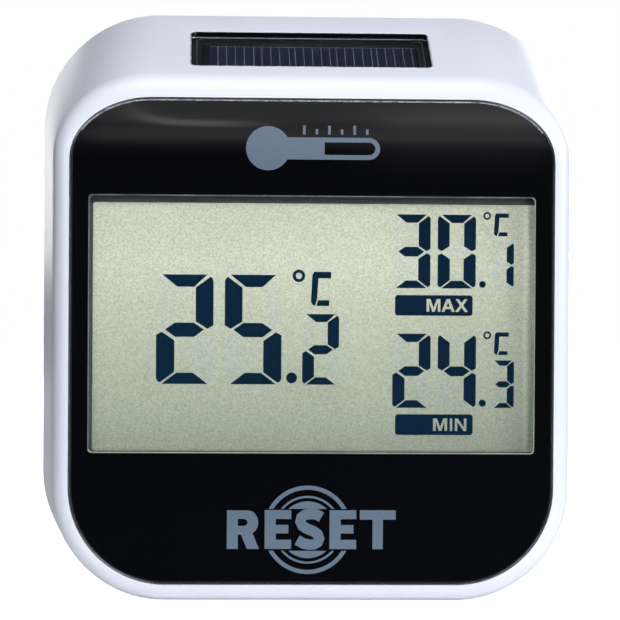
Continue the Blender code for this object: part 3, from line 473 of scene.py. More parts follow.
# %% The moulded surface group
def moulded_group():
    group = bpy.data.node_groups.new("moulded surface", "ShaderNodeTree")
    for label, value in (("Mottle Scale", 60.0), ("Mottle", 0.05), ("Grain Scale", 3000.0),
                         ("Grain Shade", 0.05), ("Roughness", 0.4), ("Gloss Wander", 0.05),
                         ("Relief", 0.1)):
        socket = group.interface.new_socket(label, in_out="INPUT",
                                            socket_type="NodeSocketFloat")
        socket.default_value = value
    for label, way, kind in (("Colour", "INPUT", "Color"), ("Colour", "OUTPUT", "Color"),
                             ("Roughness", "OUTPUT", "Float"), ("Normal", "OUTPUT", "Vector")):
        group.interface.new_socket(label, in_out=way, socket_type=f"NodeSocket{kind}")
    new, link = group.nodes.new, group.links.new
    enter, leave = new("NodeGroupInput"), new("NodeGroupOutput")
    place = new("ShaderNodeTexCoord")
    mottle, grain = new("ShaderNodeTexNoise"), new("ShaderNodeTexNoise")
    for noise, scale in ((mottle, "Mottle Scale"), (grain, "Grain Scale")):
        link(place.outputs["Object"], noise.inputs["Vector"])
        link(enter.outputs[scale], noise.inputs["Scale"])
        noise.inputs["Detail"].default_value = 3.0

    def spread(noise, amount, centre):
        """centre plus the noise, swung by amount to both sides."""
        return calc(group, "MULTIPLY_ADD", calc(group, "SUBTRACT", noise.outputs["Fac"], 0.5),
                    enter.outputs[amount], centre)

    both = calc(group, "MULTIPLY", spread(mottle, "Mottle", 1.0),
                spread(grain, "Grain Shade", 1.0))
    tint = new("ShaderNodeVectorMath")
    tint.operation = "SCALE"
    link(enter.outputs["Colour"], tint.inputs[0])
    link(both, tint.inputs["Scale"])
    link(tint.outputs[0], leave.inputs["Colour"])
    link(spread(mottle, "Gloss Wander", enter.outputs["Roughness"]), leave.inputs["Roughness"])
    bump = new("ShaderNodeBump")
    bump.inputs["Distance"].default_value = 0.02 * MM
    link(enter.outputs["Relief"], bump.inputs["Strength"])
    link(grain.outputs["Fac"], bump.inputs["Height"])
    link(bump.outputs["Normal"], leave.inputs["Normal"])
    return group


MOULDED = moulded_group()


# %% A finish that uses the group
def finish(name, colour, roughness=0.4, metallic=0.0, grain=3000.0, relief=0.1, mottle=0.05,
           mottle_scale=60.0, shade=0.05, wander=0.06, **extra):
    """A material. Extra names are sockets of its own shader, with _ for a space."""
    made = bpy.data.materials.new(name)
    made.use_nodes = True
    tree = made.node_tree
    shader = tree.nodes["Principled BSDF"]
    surface = tree.nodes.new("ShaderNodeGroup")
    surface.node_tree = MOULDED
    surface.name = "surface"
    for label, value in (("Colour", (*colour, 1.0)), ("Mottle Scale", mottle_scale),
                         ("Mottle", mottle), ("Grain Scale", grain), ("Grain Shade", shade),
                         ("Roughness", roughness), ("Gloss Wander", wander), ("Relief", relief)):
        surface.inputs[label].default_value = value
    for label, socket in (("Colour", "Base Color"), ("Roughness", "Roughness"),
                          ("Normal", "Normal")):
        tree.links.new(surface.outputs[label], shader.inputs[socket])
    shader.inputs["Metallic"].default_value = metallic
    for label, value in extra.items():
        shader.inputs[label.replace("_", " ")].default_value = value
    return made


# %% Plain finishes
WHITE = finish("case satin white", (0.79, 0.82, 0.92), 0.36, grain=5200,
               mottle=0.03, shade=0.02)
COVER_WHITE = finish("cover matt white", (0.74, 0.76, 0.80), 0.50, grain=2600, relief=0.45,
                     mottle=0.04)
BLACK_GLOSS = finish("panel gloss black", (0.0014, 0.0016, 0.0028), 0.06, grain=900,
                     relief=0.0, mottle=0.4, mottle_scale=25, wander=0.02, shade=0.1)
# A pale sparkling grey: a painted highlight on edges that catch the light.
EDGE_HIGHLIGHT = finish("painted edge highlight", (0.42, 0.42, 0.45), 0.30, grain=2600, relief=0.9,
                  mottle=3.0, mottle_scale=1300, shade=2.2, wander=0.2)
PRINT = finish("panel print", (0.100, 0.148, 0.213), 0.45, grain=4200, relief=0.15,
               mottle=0.06, mottle_scale=90, shade=0.08)
# A grey speckled line: a painted highlight along the window's edge. The lit copy below it is
# brighter still.
WINDOW_LINE_PAINT = finish("window edge", (0.17, 0.18, 0.20), 0.30, grain=1800, relief=0.4,
              mottle=2.4, mottle_scale=170, shade=1.2)
LIT_EDGE = finish("lit window edge", (0.38, 0.39, 0.30), 0.35, grain=1800, relief=0.3,
                  mottle=0.8, mottle_scale=200, shade=0.4)
INK = finish("display ink", (0.0014, 0.0100, 0.0240), 0.7, grain=3800, relief=0.0,
             mottle=0.5, mottle_scale=70, shade=0.35, Specular_IOR_Level=0.0)
# Dark grey-green of the display glass: where it shows, at the top and left of the window, it is a
# painted shadow band.
BORDER_SHADOW = finish("display border painted shadow", (0.030, 0.036, 0.042), 0.5, grain=4200, relief=0.2,
              mottle=0.3, mottle_scale=200, shade=1.4)
DARK_PLASTIC = finish("black frame plastic", (0.010, 0.010, 0.012), 0.50, grain=2600,
                      relief=0.4, mottle=0.3, Specular_IOR_Level=0.15)
RUBBER = finish("black rubber", (0.018, 0.018, 0.019), 0.8, grain=1800, relief=0.6, mottle=0.3)
EPOXY = finish("black epoxy", (0.008, 0.008, 0.010), 0.22, grain=500, relief=0.5, mottle=0.3)
NICKEL = finish("nickel plate", (0.60, 0.58, 0.55), 0.26, 1.0, grain=1600, relief=0.25,
                mottle=0.15, mottle_scale=300, shade=0.12, wander=0.15)
COPPER = finish("copper foil", (0.78, 0.38, 0.22), 0.30, 1.0, grain=900, relief=0.3,
                mottle=0.25, mottle_scale=120, wander=0.2)
REFLECTOR = finish("pale reflector", (0.60, 0.62, 0.55), 0.45, grain=5000, relief=0.3)
BOARD = finish("green board", (0.012, 0.11, 0.045), 0.32, grain=1400, relief=0.3,
               mottle=0.5, mottle_scale=260, shade=0.3)
WIRE_RED = finish("red insulation", (0.46, 0.015, 0.012), 0.42, grain=1500, relief=0.2)
WIRE_BLACK = finish("black insulation", (0.014, 0.014, 0.015), 0.42, grain=1500, relief=0.2)
BUTTON_GREY = finish("button grey", (0.30, 0.32, 0.35), 0.48, grain=2600, relief=0.4)
SILVER_INK = finish("silver conductor", (0.20, 0.21, 0.24), 0.45, 0.3, grain=3200, relief=0.4,
                    mottle=0.5, mottle_scale=500, shade=0.7)
CELL_BLACK = finish("cell border black", (0.004, 0.004, 0.006), 0.3, grain=2000, relief=0.1,
                    Specular_IOR_Level=0.15)
# Grey speckled line on the solar pane: a painted highlight, not a cut.
PANE_LINE_PAINT = finish("painted line on the pane", (0.070, 0.075, 0.090), 0.5, grain=3000, relief=0.3,
                mottle=1.5, mottle_scale=1500, shade=0.8, Specular_IOR_Level=0.2)
SLEEVE = finish("battery sleeve", (0.030, 0.16, 0.075), 0.24, grain=1200, relief=0.05,
                mottle=0.1)
FLOOR = finish("pale floor", (0.88, 0.88, 0.88), 0.85, grain=300, relief=0.0, mottle=0.01)
floor.data.materials.append(FLOOR)
print("plain finishes", len(bpy.data.materials))

# %% Floor that fades into the white room
def add_glow(tree, strength):
    out = tree.nodes["Material Output"]
    surface = out.inputs["Surface"].links[0].from_socket
    glow, add = tree.nodes.new("ShaderNodeEmission"), tree.nodes.new("ShaderNodeAddShader")
    tree.links.new(strength, glow.inputs["Strength"])
    tree.links.new(surface, add.inputs[0])
    tree.links.new(glow.outputs["Emission"], add.inputs[1])
    tree.links.new(add.outputs["Shader"], out.inputs["Surface"])


seen_by = FLOOR.node_tree.nodes.new("ShaderNodeLightPath")
add_glow(FLOOR.node_tree, calc(FLOOR.node_tree, "MULTIPLY", seen_by.outputs["Is Camera Ray"], 1.0))

# %% Glow of the card
# Each place on the card is known by its elevation, in degrees seen from the
# panel, and by how far across it lies, in millimetres from the panel's middle.
CARD_GLOW = ((0.0, 0.0), (7.0, 0.015), (10.5, 0.05), (13.0, 0.15), (15.0, 0.34), (17.0, 0.52),
             (20.0, 0.54), (22.8, 0.40), (25.0, 0.42), (27.5, 0.58), (38.0, 0.55))
RAMP_END = 40.0
CREST, CREST_RISE, CREST_FROM, CREST_RUN = 24.4, 11.2, 58.0, -9.0    # the streak's curve


def card_finish():
    made = finish("soft card", (0.02, 0.02, 0.02), 0.9)
    tree = made.node_tree

    def sum_up(operation, *values):
        return calc(tree, operation, *values)

    spot, split = tree.nodes.new("ShaderNodeTexCoord"), tree.nodes.new("ShaderNodeSeparateXYZ")
    tree.links.new(spot.outputs["Object"], split.inputs[0])
    rise = sum_up("ARCTAN2", sum_up("SUBTRACT", split.outputs["Z"], EYE_Z),
                  sum_up("MULTIPLY", split.outputs["Y"], -1.0))
    degrees = sum_up("MULTIPLY", rise, 180 / math.pi)
    across = sum_up("MULTIPLY", split.outputs["X"], 1000.0)
    even = colour_ramp(tree, sum_up("DIVIDE", degrees, RAMP_END),
                       [(at / RAMP_END, (level,) * 3) for at, level in CARD_GLOW])
    bend = sum_up("POWER", math.e, sum_up("DIVIDE", sum_up("ADD", across, CREST_FROM), CREST_RUN))
    off = sum_up("ABSOLUTE", sum_up("SUBTRACT", degrees,
                                    sum_up("MULTIPLY_ADD", bend, CREST_RISE, CREST)))
    streak = sum_up("MULTIPLY", ease(tree, off, 0.2, 3.0, 1.60, 0.0),
                    ease(tree, across, -20.0, 32.0, 1.0, 0.0))
    right = sum_up("MULTIPLY", ease(tree, across, 55.0, 110.0),
                   ease(tree, degrees, 38.0, 27.0, 0.08, 0.40))
    right = sum_up("MULTIPLY", right, ease(tree, degrees, 20.0, 26.0))
    low = sum_up("MULTIPLY", ease(tree, across, 55.0, 100.0, 0.0, 0.10),
                 ease(tree, degrees, 1.5, 5.5))
    total = sum_up("ADD", sum_up("ADD", sum_up("ADD", even, streak), right), low)
    inside = sum_up("MULTIPLY", ease(tree, across, -95.0, -70.0), ease(tree, across, 190, 165))
    add_glow(tree, sum_up("MULTIPLY", total, inside))
    return made


card.data.materials.append(card_finish())

# %% [markdown]
# Clear plastic needs one more thing. The lamps must reach the display through
# the window, and a path tracer finds them poorly through real glass, so a
# shadow ray passes the pane as if it weren't there. Every other ray sees glass.

# %% Clear plastic
def clear(name, roughness, tint):
    made = bpy.data.materials.new(name)
    made.use_nodes = True
    tree = made.node_tree
    new, link = tree.nodes.new, tree.links.new
    shader, out = tree.nodes["Principled BSDF"], tree.nodes["Material Output"]
    for label, value in (("Base Color", (*tint, 1.0)), ("Transmission Weight", 1.0),
                         ("IOR", 1.49), ("Roughness", roughness)):
        shader.inputs[label].default_value = value
    spot, dust, reach = (new("ShaderNodeTexCoord"), new("ShaderNodeTexNoise"),
                         new("ShaderNodeMapRange"))
    dust.inputs["Scale"].default_value = 240.0
    reach.inputs["To Min"].default_value = roughness
    reach.inputs["To Max"].default_value = roughness + 0.02
    link(spot.outputs["Object"], dust.inputs["Vector"])
    link(dust.outputs["Fac"], reach.inputs["Value"])
    link(reach.outputs["Result"], shader.inputs["Roughness"])
    passing, ray, choose = (new("ShaderNodeBsdfTransparent"), new("ShaderNodeLightPath"),
                            new("ShaderNodeMixShader"))
    link(ray.outputs["Is Shadow Ray"], choose.inputs["Fac"])
    link(shader.outputs["BSDF"], choose.inputs[1])
    link(passing.outputs["BSDF"], choose.inputs[2])
    link(choose.outputs["Shader"], out.inputs["Surface"])
    return made


LENS = clear("clear lens", 0.0, (0.98, 0.99, 0.99))
PANE = clear("solar pane", 0.01, (0.66, 0.68, 0.76))

# %% [markdown]
# ## Display film
# The display's front film is warm grey-green, with a fine sparkle from the
# reflector behind it. Its colour carries painted light: paler at the top and
# darker towards the bottom, the way it was lit. That painted shade runs down the
# height of the film, so a Map Range turns height into a place on a colour ramp.

# %% Film finish
lcd_low, lcd_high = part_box("lcd_glass")
LCD_X, LCD_Z = (lcd_low.x + lcd_high.x) / 2, (lcd_low.z + lcd_high.z) / 2
FILM_LOW, FILM_HIGH = LCD_Z - 21.24 * MM, LCD_Z + 20.24 * MM


# The film's colour is a ramp over height that holds painted light, times a painted shade across
# it.
def film_with_painted_light(name, painted_light_tints):
    made = finish(name, (0.6, 0.62, 0.5), 0.5, grain=3400, relief=0.0, mottle_scale=40, shade=1.1)
    tree = made.node_tree
    new, link = tree.nodes.new, tree.links.new
    spot, split, reach = (new("ShaderNodeTexCoord"), new("ShaderNodeSeparateXYZ"),
                          new("ShaderNodeMapRange"))
    reach.inputs["From Min"].default_value = FILM_LOW
    reach.inputs["From Max"].default_value = FILM_HIGH
    link(spot.outputs["Object"], split.inputs[0])
    link(split.outputs["Z"], reach.inputs["Value"])
    shaded = new("ShaderNodeVectorMath")
    shaded.operation = "SCALE"
    link(colour_ramp(tree, reach.outputs["Result"], painted_light_tints), shaded.inputs[0])
    # Painted shade across the film: up to 14% darker towards the right. Then the last millimetre
    # or so on the right is painted up to 1.7 times brighter, painted light that cancels the shadow
    # the side lamp casts there.
    painted_shade_right = ease(tree, split.outputs["X"], LCD_X + 6 * MM, LCD_X + 34 * MM, 1.0, 0.86)
    edge = ease(tree, split.outputs["X"], LCD_X + 35.2 * MM, LCD_X + 36.5 * MM, 1.0, 1.7)
    link(calc(tree, "MULTIPLY", painted_shade_right, edge), shaded.inputs["Scale"])
    link(shaded.outputs[0], tree.nodes["surface"].inputs["Colour"])
    return made


# Painted light down the film, from its foot (0) to its top (1): pale at the top, darker towards
# the bottom, the way it was lit.
FILM_PAINTED_LIGHT_TINTS = ((0.0, (0.178, 0.203, 0.150)), (0.045, (0.168, 0.193, 0.143)),
              (0.106, (0.190, 0.221, 0.168)), (0.226, (0.222, 0.252, 0.189)),
              (0.407, (0.262, 0.293, 0.225)), (0.608, (0.318, 0.340, 0.258)),
              (0.76, (0.362, 0.386, 0.302)), (1.0, (0.372, 0.391, 0.303)))
FILM = film_with_painted_light("display film", FILM_PAINTED_LIGHT_TINTS)
# The unlit segments take the same painted light ramp, a touch bluer.
FAINT = film_with_painted_light("unlit segment", [(at, (r * 0.965, g * 0.985, b * 1.05))
                                      for at, (r, g, b) in FILM_PAINTED_LIGHT_TINTS])
print("film finish from", round(FILM_LOW / MM, 2), "to", round(FILM_HIGH / MM, 2), "mm")


# %% Placing a finished piece
def place(piece, material, slot, *stands_for, body="case"):
    """Gives a piece its finish and body, and says which nodes it stands for."""
    piece.data.materials.clear()
    piece.data.materials.append(material)
    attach(piece, body)
    if stands_for:
        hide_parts(*stands_for)
    faces = sum(len(p.vertices) - 2 for p in piece.data.polygons)
    print(f"{piece.name}: {faces} triangles, rides on {body}")


def second_finish(piece, material, picked):
    """Gives the faces that pass a test a finish of their own."""
    piece.data.materials.append(material)
    for face in piece.data.polygons:
        face.material_index = 1 if picked(face) else 0
    print(f"{piece.name}: {sum(f.material_index for f in piece.data.polygons)} faces apart")


# %% [markdown]
# ## The white case
# The rim round the panel is one soft roll, so it gets twelve steps from the
# panel's edge to the wall. The skin goes on over the wall, round the small
# back edge, down the lip and inside again, and both ends close with rungs
# across the case, because a single face could not follow the bend at the top.

# %% Case rings
def nose_halves():
    halves = []
    share = NOSE_DEPTH / CASE_DEPTH
    for step in range(NOSE_STEPS + 1):
        t = step / NOSE_STEPS
        halves.append([a * (1 - t) ** 2 + b * 2 * t * (1 - t) + b.lerp(c, share) * t ** 2
                       for a, b, c in zip(panel_half(), front_half(), back_half())])
    return halves


def back_roll():
    halves = []
    for step in range(5):
        turn = math.pi / 2 * step / 4
        halves.append(wall_half(BACK_Y - BACK_EDGE * (1 - math.sin(turn)),
                                BACK_EDGE * (1 - math.cos(turn))))
    return halves


case_halves = [panel_half(y=FLOOR_FRONT)] + nose_halves() + back_roll()
case_halves += [back_half(CASE_LIP), wall_half(LEDGE_Y, CASE_LIP), wall_half(LEDGE_Y, CASE_WALL),
                wall_half(FLOOR_BACK, CASE_WALL, bent=True)]
case = skin("case_shell", [both_sides(half) for half in case_halves], "ladder")

# %% [markdown]
# The solar opening lies on the sloping top. Its cutter is built flat, widened
# at the mouth so the edge comes out chamfered, and then laid on the slope.

# %% Slope frame and openings
slope_foot = Vector((0, FRONT_Y + bend_back(FRONT_TOP), FRONT_TOP))
slope_up = (Vector((0, BACK_Y, CASE_HEIGHT)) - slope_foot).normalized()
slope_out = Vector((1, 0, 0)).cross(slope_up)
SLOPE = Matrix.Translation(slope_foot) @ Matrix(
    ((1, slope_up.x, slope_out.x), (0, slope_up.y, slope_out.y),
     (0, slope_up.z, slope_out.z))).to_4x4()
SOLAR_HALF_X, SOLAR_HALF_Y, SOLAR_MID = 20.6 * MM, 6.8 * MM, (5.1 + 6.8) * MM


def on_slope(outline, lift):
    """Points of a flat outline, laid on the slope at a height above it."""
    return [SLOPE @ Vector((x, SOLAR_MID + y, lift)) for x, y in outline]


def solar_outline(inset, radius=1.0 * MM):
    return rounded_box(0, 0, SOLAR_HALF_X - inset, SOLAR_HALF_Y - inset,
                       max(radius - inset, 0.2 * MM))


carve(case, skin("solar_cut", [on_slope(solar_outline(0), -4.4 * MM),
                               on_slope(solar_outline(0), -0.06 * MM),
                               on_slope(solar_outline(-0.56 * MM, 1.6 * MM), 0.5 * MM)]))
lens_low, lens_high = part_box("display_lens")
carve(case, block("lens_cut", (lens_low.x - GAP, FLOOR_FRONT - MM, lens_low.z - GAP),
                  (lens_high.x + GAP, FLOOR_BACK + MM, lens_high.z + GAP)))
smooth(case)
place(case, WHITE, "case_plastic", "front_housing")

# %% [markdown]
# ## The gloss panel
# The panel is a 1.2 mm sheet of black acrylic with a fine chamfer, bent back
# at the top. Its window is cut with a widening cutter as well. Along the top the
# chamfer faces get a pale sparkling finish: a painted highlight, where the light
# from above catches the edge.

# %% Panel sheet
CHAMFER, HIGHLIGHT_ABOVE = 0.25 * MM, 78.0 * MM
panel = skin("panel_sheet", [both_sides(panel_half(GAP, PANEL_BACK)),
                             both_sides(panel_half(GAP, PANEL_FRONT + CHAMFER)),
                             both_sides(panel_half(GAP + CHAMFER, PANEL_FRONT))], "ladder")
WINDOW_X, WINDOW_Z = 37.3 * MM, 21.5 * MM


def window_outline(grow):
    return rounded_box(LCD_X, LCD_Z, WINDOW_X, WINDOW_Z, 0.7 * MM, grow)


carve(panel, flared("window_cut", window_outline, PANEL_BACK + MM, PANEL_FRONT, 0.10 * MM))
smooth(panel, 28)
place(panel, BLACK_GLOSS, "panel_black", "front_panel")


def highlit_chamfer(face):
    """Picks the slanting faces of the panel's outer edge along the top, for the painted highlight.
    """
    x, z = face.center.x, face.center.z
    outer = abs(x) > WINDOW_X + MM or abs(z - LCD_Z) > WINDOW_Z + MM
    return outer and z > HIGHLIGHT_ABOVE and 0.25 < abs(face.normal.y) < 0.9


second_finish(panel, EDGE_HIGHLIGHT, highlit_chamfer)

# %% Painted highlight line round the window
window_highlight_ring = skin("window_highlight_line", [at_depth(window_outline(grow * MM), PANEL_FRONT + deep * MM)
                            for grow, deep in ((-0.02, 0.30), (-0.02, 0.08), (-0.06, 0.03),
                                               (-0.14, 0.03), (-0.18, 0.08), (-0.18, 0.30))],
            "joined")
smooth(window_highlight_ring, 60)
place(window_highlight_ring, WINDOW_LINE_PAINT, "clear_plastic")
# The bottom and right edges get the brighter painted highlight.
second_finish(window_highlight_ring, LIT_EDGE, lambda face: max(
    LCD_Z - face.center.z - WINDOW_Z, face.center.x - LCD_X - WINDOW_X) > -0.6 * MM)

# %% [markdown]
# ## Display
# Behind the lens lies the display glass, dark all over, and on it the paler film.
# The film stops short of the window at the top and the left, so a band of the dark
# glass shows there as a painted shadow of the window's edge.

# %% Film plate
FILM_FACE = lcd_low.y - 0.10 * MM
# The film is set a little right and down, so the dark glass shows at the top and left as a painted
# shadow.
film_x, film_z = LCD_X + 0.475 * MM, (FILM_LOW + FILM_HIGH) / 2
film_half_x, film_half_z = 37.1 * MM, (FILM_HIGH - FILM_LOW) / 2


def film_outline(inset):
    return rounded_box(film_x, film_z, film_half_x, film_half_z, 0.4 * MM, -inset * MM)


film = skin("display_film", [at_depth(film_outline(0), lcd_low.y - 0.01 * MM),
                             at_depth(film_outline(0), FILM_FACE + 0.03 * MM),
                             at_depth(film_outline(0.03), FILM_FACE)])
smooth(film)
place(film, FILM, "display_glass")

# %% [markdown]
# ## Segments
# A digit is seven bars with mitred ends and a clear gap between neighbours.
# The bars are drawn once on a cell one unit wide and high, and each digit
# places that cell at its own size. Lit bars are dark ink. The unlit ones show
# as a faint change of shade, so they are laid too, in a finish close to the film.

# %% The seven bars on a unit cell
LEFT_UPPER = ((0.055, 0.020), (0.018, 0.034), (0.0, 0.060), (0.0, 0.463), (0.105, 0.496),
              (0.310, 0.428), (0.310, 0.119))
LEFT_LOWER = ((0.0, 0.552), (0.100, 0.525), (0.320, 0.603), (0.320, 0.890), (0.070, 0.986),
              (0.025, 0.974), (0.0, 0.948))


def mirrored(bar):
    return tuple((1 - x, y) for x, y in reversed(bar))


BARS = {"a": ((0.102, 0.0), (0.896, 0.0), (0.661, 0.112), (0.368, 0.112)),
        "b": mirrored(LEFT_UPPER),
        "c": mirrored(LEFT_LOWER),
        "d": ((0.097, 1.0), (0.354, 0.897), (0.643, 0.897), (0.903, 1.0)),
        "e": LEFT_LOWER,
        "f": LEFT_UPPER,
        "g": ((0.153, 0.503), (0.327, 0.440), (0.660, 0.440), (0.835, 0.503),
              (0.666, 0.570), (0.327, 0.570))}
LIT = {"0": "abcdef", "1": "bc", "2": "abged", "3": "abgcd", "4": "fgbc", "5": "afgcd"}
LETTER_C = (((0.16, 0.0), (1.0, 0.0), (1.0, 0.19), (0.37, 0.19), (0.31, 0.80), (0.20, 1.0),
             (0.10, 0.975), (0.0, 0.88), (0.07, 0.09)),
            ((0.36, 0.83), (0.91, 0.83), (0.91, 1.0), (0.28, 1.0)))


# %% Thin plates from outlines
def plates(name, outlines, face, thickness):
    """Thin solids: each outline is one plate, its front at depth face."""
    made = [skin(f"{name}_{number}", [at_depth(outline, face + thickness),
                                      at_depth(outline, face)])
            for number, outline in enumerate(outlines)]
    return joined(name, made)


def in_cell(shape, cell):
    """A shape on the unit cell, placed in (left, right, bottom, top), millimetres."""
    x0, x1, z0, z1 = cell
    return [(LCD_X + (x0 + (x1 - x0) * x) * MM, LCD_Z + (z1 - (z1 - z0) * y) * MM)
            for x, y in shape]


# %% Where the digits stand, in millimetres from the display's middle
DIGITS = (("2", (-26.00, -16.43, -10.04, 8.26)), ("5", (-14.55, -5.02, -10.04, 8.26)),
          ("2", (-1.53, 4.61, -10.06, 1.75)),
          ("3", (13.48, 19.89, 6.20, 18.55)), ("0", (21.10, 27.52, 6.20, 18.55)),
          ("1", (30.10, 33.94, 6.45, 13.95)),
          ("2", (13.61, 20.02, -13.88, -1.44)), ("4", (21.23, 27.66, -13.88, -1.44)),
          ("3", (30.37, 34.08, -13.83, -5.86)))
DOTS = ((-3.30, -8.95, 0.92), (28.67, 6.90, 0.57), (28.78, -13.05, 0.60))
RINGS = ((-2.18, 8.14, 1.05, 0.53), (29.39, 18.40, 0.67, 0.36), (29.53, -1.65, 0.67, 0.36))
UNITS = ((-0.15, 3.24, 3.12, 8.83), (30.53, 33.05, 15.01, 18.82), (30.67, 33.19, -4.94, -1.14))
PILLS = ((13.97, 27.04, 1.60, 5.03), (14.11, 27.18, -18.43, -14.97))
INK_FACE = FILM_FACE - 0.02 * MM
FAINT_FACE = FILM_FACE - 0.01 * MM

lit, unlit = [], []
for figure, cell in DIGITS:
    for bar, shape in BARS.items():
        (lit if bar in LIT[figure] else unlit).append(in_cell(shape, cell))
for x, z, radius in DOTS:
    lit.append(circle(LCD_X + x * MM, LCD_Z + z * MM, radius * MM, 24))
for cell in UNITS:
    lit += [in_cell(shape, cell) for shape in LETTER_C]
for x0, x1, z0, z1 in PILLS:
    lit.append(rounded_box(LCD_X + (x0 + x1) / 2 * MM, LCD_Z + (z0 + z1) / 2 * MM,
                           (x1 - x0) / 2 * MM, (z1 - z0) / 2 * MM, 0.5 * MM))
ink = plates("display_segments", lit, INK_FACE, 0.015 * MM)
place(ink, INK, "display_glass")
faint = plates("display_unlit_segments", unlit, FAINT_FACE, 0.008 * MM)
place(faint, FAINT, "display_glass")

# %% Degree rings
degrees = [skin(f"degree_{number}",
                [at_depth(circle(LCD_X + x * MM, LCD_Z + z * MM, size * MM, 28), y)
                 for size, y in ((outer, INK_FACE + 0.015 * MM), (outer, INK_FACE),
                                 (inner, INK_FACE), (inner, INK_FACE + 0.015 * MM))], "joined")
           for number, (x, z, outer, inner) in enumerate(RINGS)]
place(joined("degree_rings", degrees), INK, "display_glass")


# %% [markdown]
# The two labels are plain function words in pale film colour on the dark bars.
# Each letter is an outline on a square of 100 units, filled to a flat sheet and
# thickened, so its strokes stay as bold as the real ones at this small size.

# %% Sheets from outlines
def fill_outlines(name, outlines):
    """One flat sheet from an outer outline and the holes in it."""
    deselect()
    loops = []
    for outline in outlines:
        bpy.ops.mesh.primitive_circle_add(vertices=len(outline), radius=0.01)
        loop = bpy.context.object
        for vertex, (x, z) in zip(loop.data.vertices, outline):
            vertex.co = (x, 0, z)
        loops.append(loop)
    sheet = joined(name, loops)
    edit_all(sheet)
    bpy.ops.mesh.fill()
    bpy.ops.object.mode_set(mode="OBJECT")
    return sheet


def thicken(sheet, thickness):
    """Pulls a flat sheet forward into a closed plate."""
    edit_all(sheet)
    bpy.ops.mesh.extrude_region_move(TRANSFORM_OT_translate={"value": (0, -thickness, 0)})
    turn_outward()


# %% Words on the bars
STROKES = {
    "M": [[(0, 0), (0, 100), (27, 100), (50, 31), (73, 100), (100, 100), (100, 0), (81, 0),
           (81, 74), (59, 0), (41, 0), (19, 74), (19, 0)]],
    "A": [[(0, 0), (38, 100), (62, 100), (100, 0), (78, 0), (70, 22), (30, 22), (22, 0)],
          [(37, 40), (63, 40), (50, 76)]],
    "X": [[(0, 0), (37, 52), (3, 100), (28, 100), (50, 69), (72, 100), (97, 100), (63, 52),
           (100, 0), (75, 0), (50, 35), (25, 0)]],
    "I": [[(0, 0), (0, 100), (100, 100), (100, 0)]],
    "N": [[(0, 0), (0, 100), (23, 100), (79, 31), (79, 100), (100, 100), (100, 0), (77, 0),
           (21, 71), (21, 0)]]}
LABELS = ((2.25, 2.14, (("M", 19.29, 21.62), ("A", 21.80, 24.02), ("X", 24.10, 26.25))),
          (-17.75, 2.11, (("M", 20.51, 22.88), ("I", 23.34, 23.74), ("N", 24.18, 26.11))))

letters = []
for base, height, spans in LABELS:
    for mark, left, right in spans:
        letters.append(fill_outlines(f"letter_{mark}_{len(letters)}", [
            [(LCD_X + (left + x * (right - left) / 100) * MM,
              LCD_Z + (base + z * height / 100) * MM) for x, z in loop]
            for loop in STROKES[mark]]))
labels = joined("bar_labels", letters)
thicken(labels, 0.008 * MM)
for vertex in labels.data.vertices:
    vertex.co.y += INK_FACE - 0.004 * MM
place(labels, FILM, "display_glass")

# %% [markdown]
# ## Print on the panel
# The touch zone is marked by its word and by rings that the word interrupts.
# The letters are drawn on a grid 100 units tall, as a sign maker would, since
# they are heavier than the built-in typeface.

# %% Letters on a 100 unit grid
LETTER_E = [(0, 0), (67, 0), (67, 24), (28, 24), (28, 40), (60, 40), (60, 62), (28, 62),
            (28, 77), (67, 77), (67, 100), (0, 100)]
LETTER_T = [(32, 0), (58, 0), (58, 76), (90, 76), (90, 100), (0, 100), (0, 76), (32, 76)]
S_SPINE = [(69, 82), (56, 89), (41, 90), (27, 88), (17, 81), (15, 70), (20, 60), (32, 52),
           (48, 46), (60, 38), (64, 27), (60, 17), (50, 12), (39, 11), (24, 14), (7, 23)]


def arc_points(x, y, radius_x, radius_y, start, end, steps=10):
    angles = [math.radians(start + (end - start) * i / steps) for i in range(steps + 1)]
    return [(x + radius_x * math.cos(a), y + radius_y * math.sin(a)) for a in angles]


def stroke(spine, width):
    """The outline of a line of even width along a spine."""
    left, right_side = [], []
    for number, point in enumerate(spine):
        before, after = spine[max(number - 1, 0)], spine[min(number + 1, len(spine) - 1)]
        way = Vector((after[0] - before[0], after[1] - before[1])).normalized()
        across = Vector((-way.y, way.x)) * width / 2
        left.append((point[0] + across.x, point[1] + across.y))
        right_side.append((point[0] - across.x, point[1] - across.y))
    return left + right_side[::-1]


R_OUTER = ([(0, 0), (28, 0), (28, 37), (36, 37), (51, 0), (82, 0), (65, 42)]
           + arc_points(53, 68, 27, 31, -58, 90) + [(0, 99)])
R_HOLE = [(28, 59)] + arc_points(43, 68, 9.5, 9, -90, 90) + [(28, 77)]


# %% Flat print with holes, laid on the panel
PRINT_THICK, PRINT_LIFT, BAND_STEP = 0.03 * MM, 0.002 * MM, 0.5 * MM


def printed(name, sheets):
    """Joins flat sheets, cuts them into narrow bands, and bends them on the panel."""
    sheet = joined(name, sheets)
    heights = [v.co.z for v in sheet.data.vertices]
    edit_all(sheet)
    level = max(min(heights), BEND_START) + BAND_STEP
    while level < max(heights):
        bpy.ops.mesh.select_all(action="SELECT")
        bpy.ops.mesh.bisect(plane_co=(0, 0, level), plane_no=(0, 0, 1))
        level += BAND_STEP
    bpy.ops.object.mode_set(mode="OBJECT")
    thicken(sheet, PRINT_THICK)
    for vertex in sheet.data.vertices:
        vertex.co.y += PANEL_FRONT - PRINT_LIFT + bend_back(vertex.co.z)
    place(sheet, PRINT, "panel_black")


WORD_FOOT, WORD_HEIGHT = 8.70, 6.50


def on_grid(outline, left, width, units):
    return [((left + x * width / units) * MM, (WORD_FOOT + y * WORD_HEIGHT / 100) * MM)
            for x, y in outline]


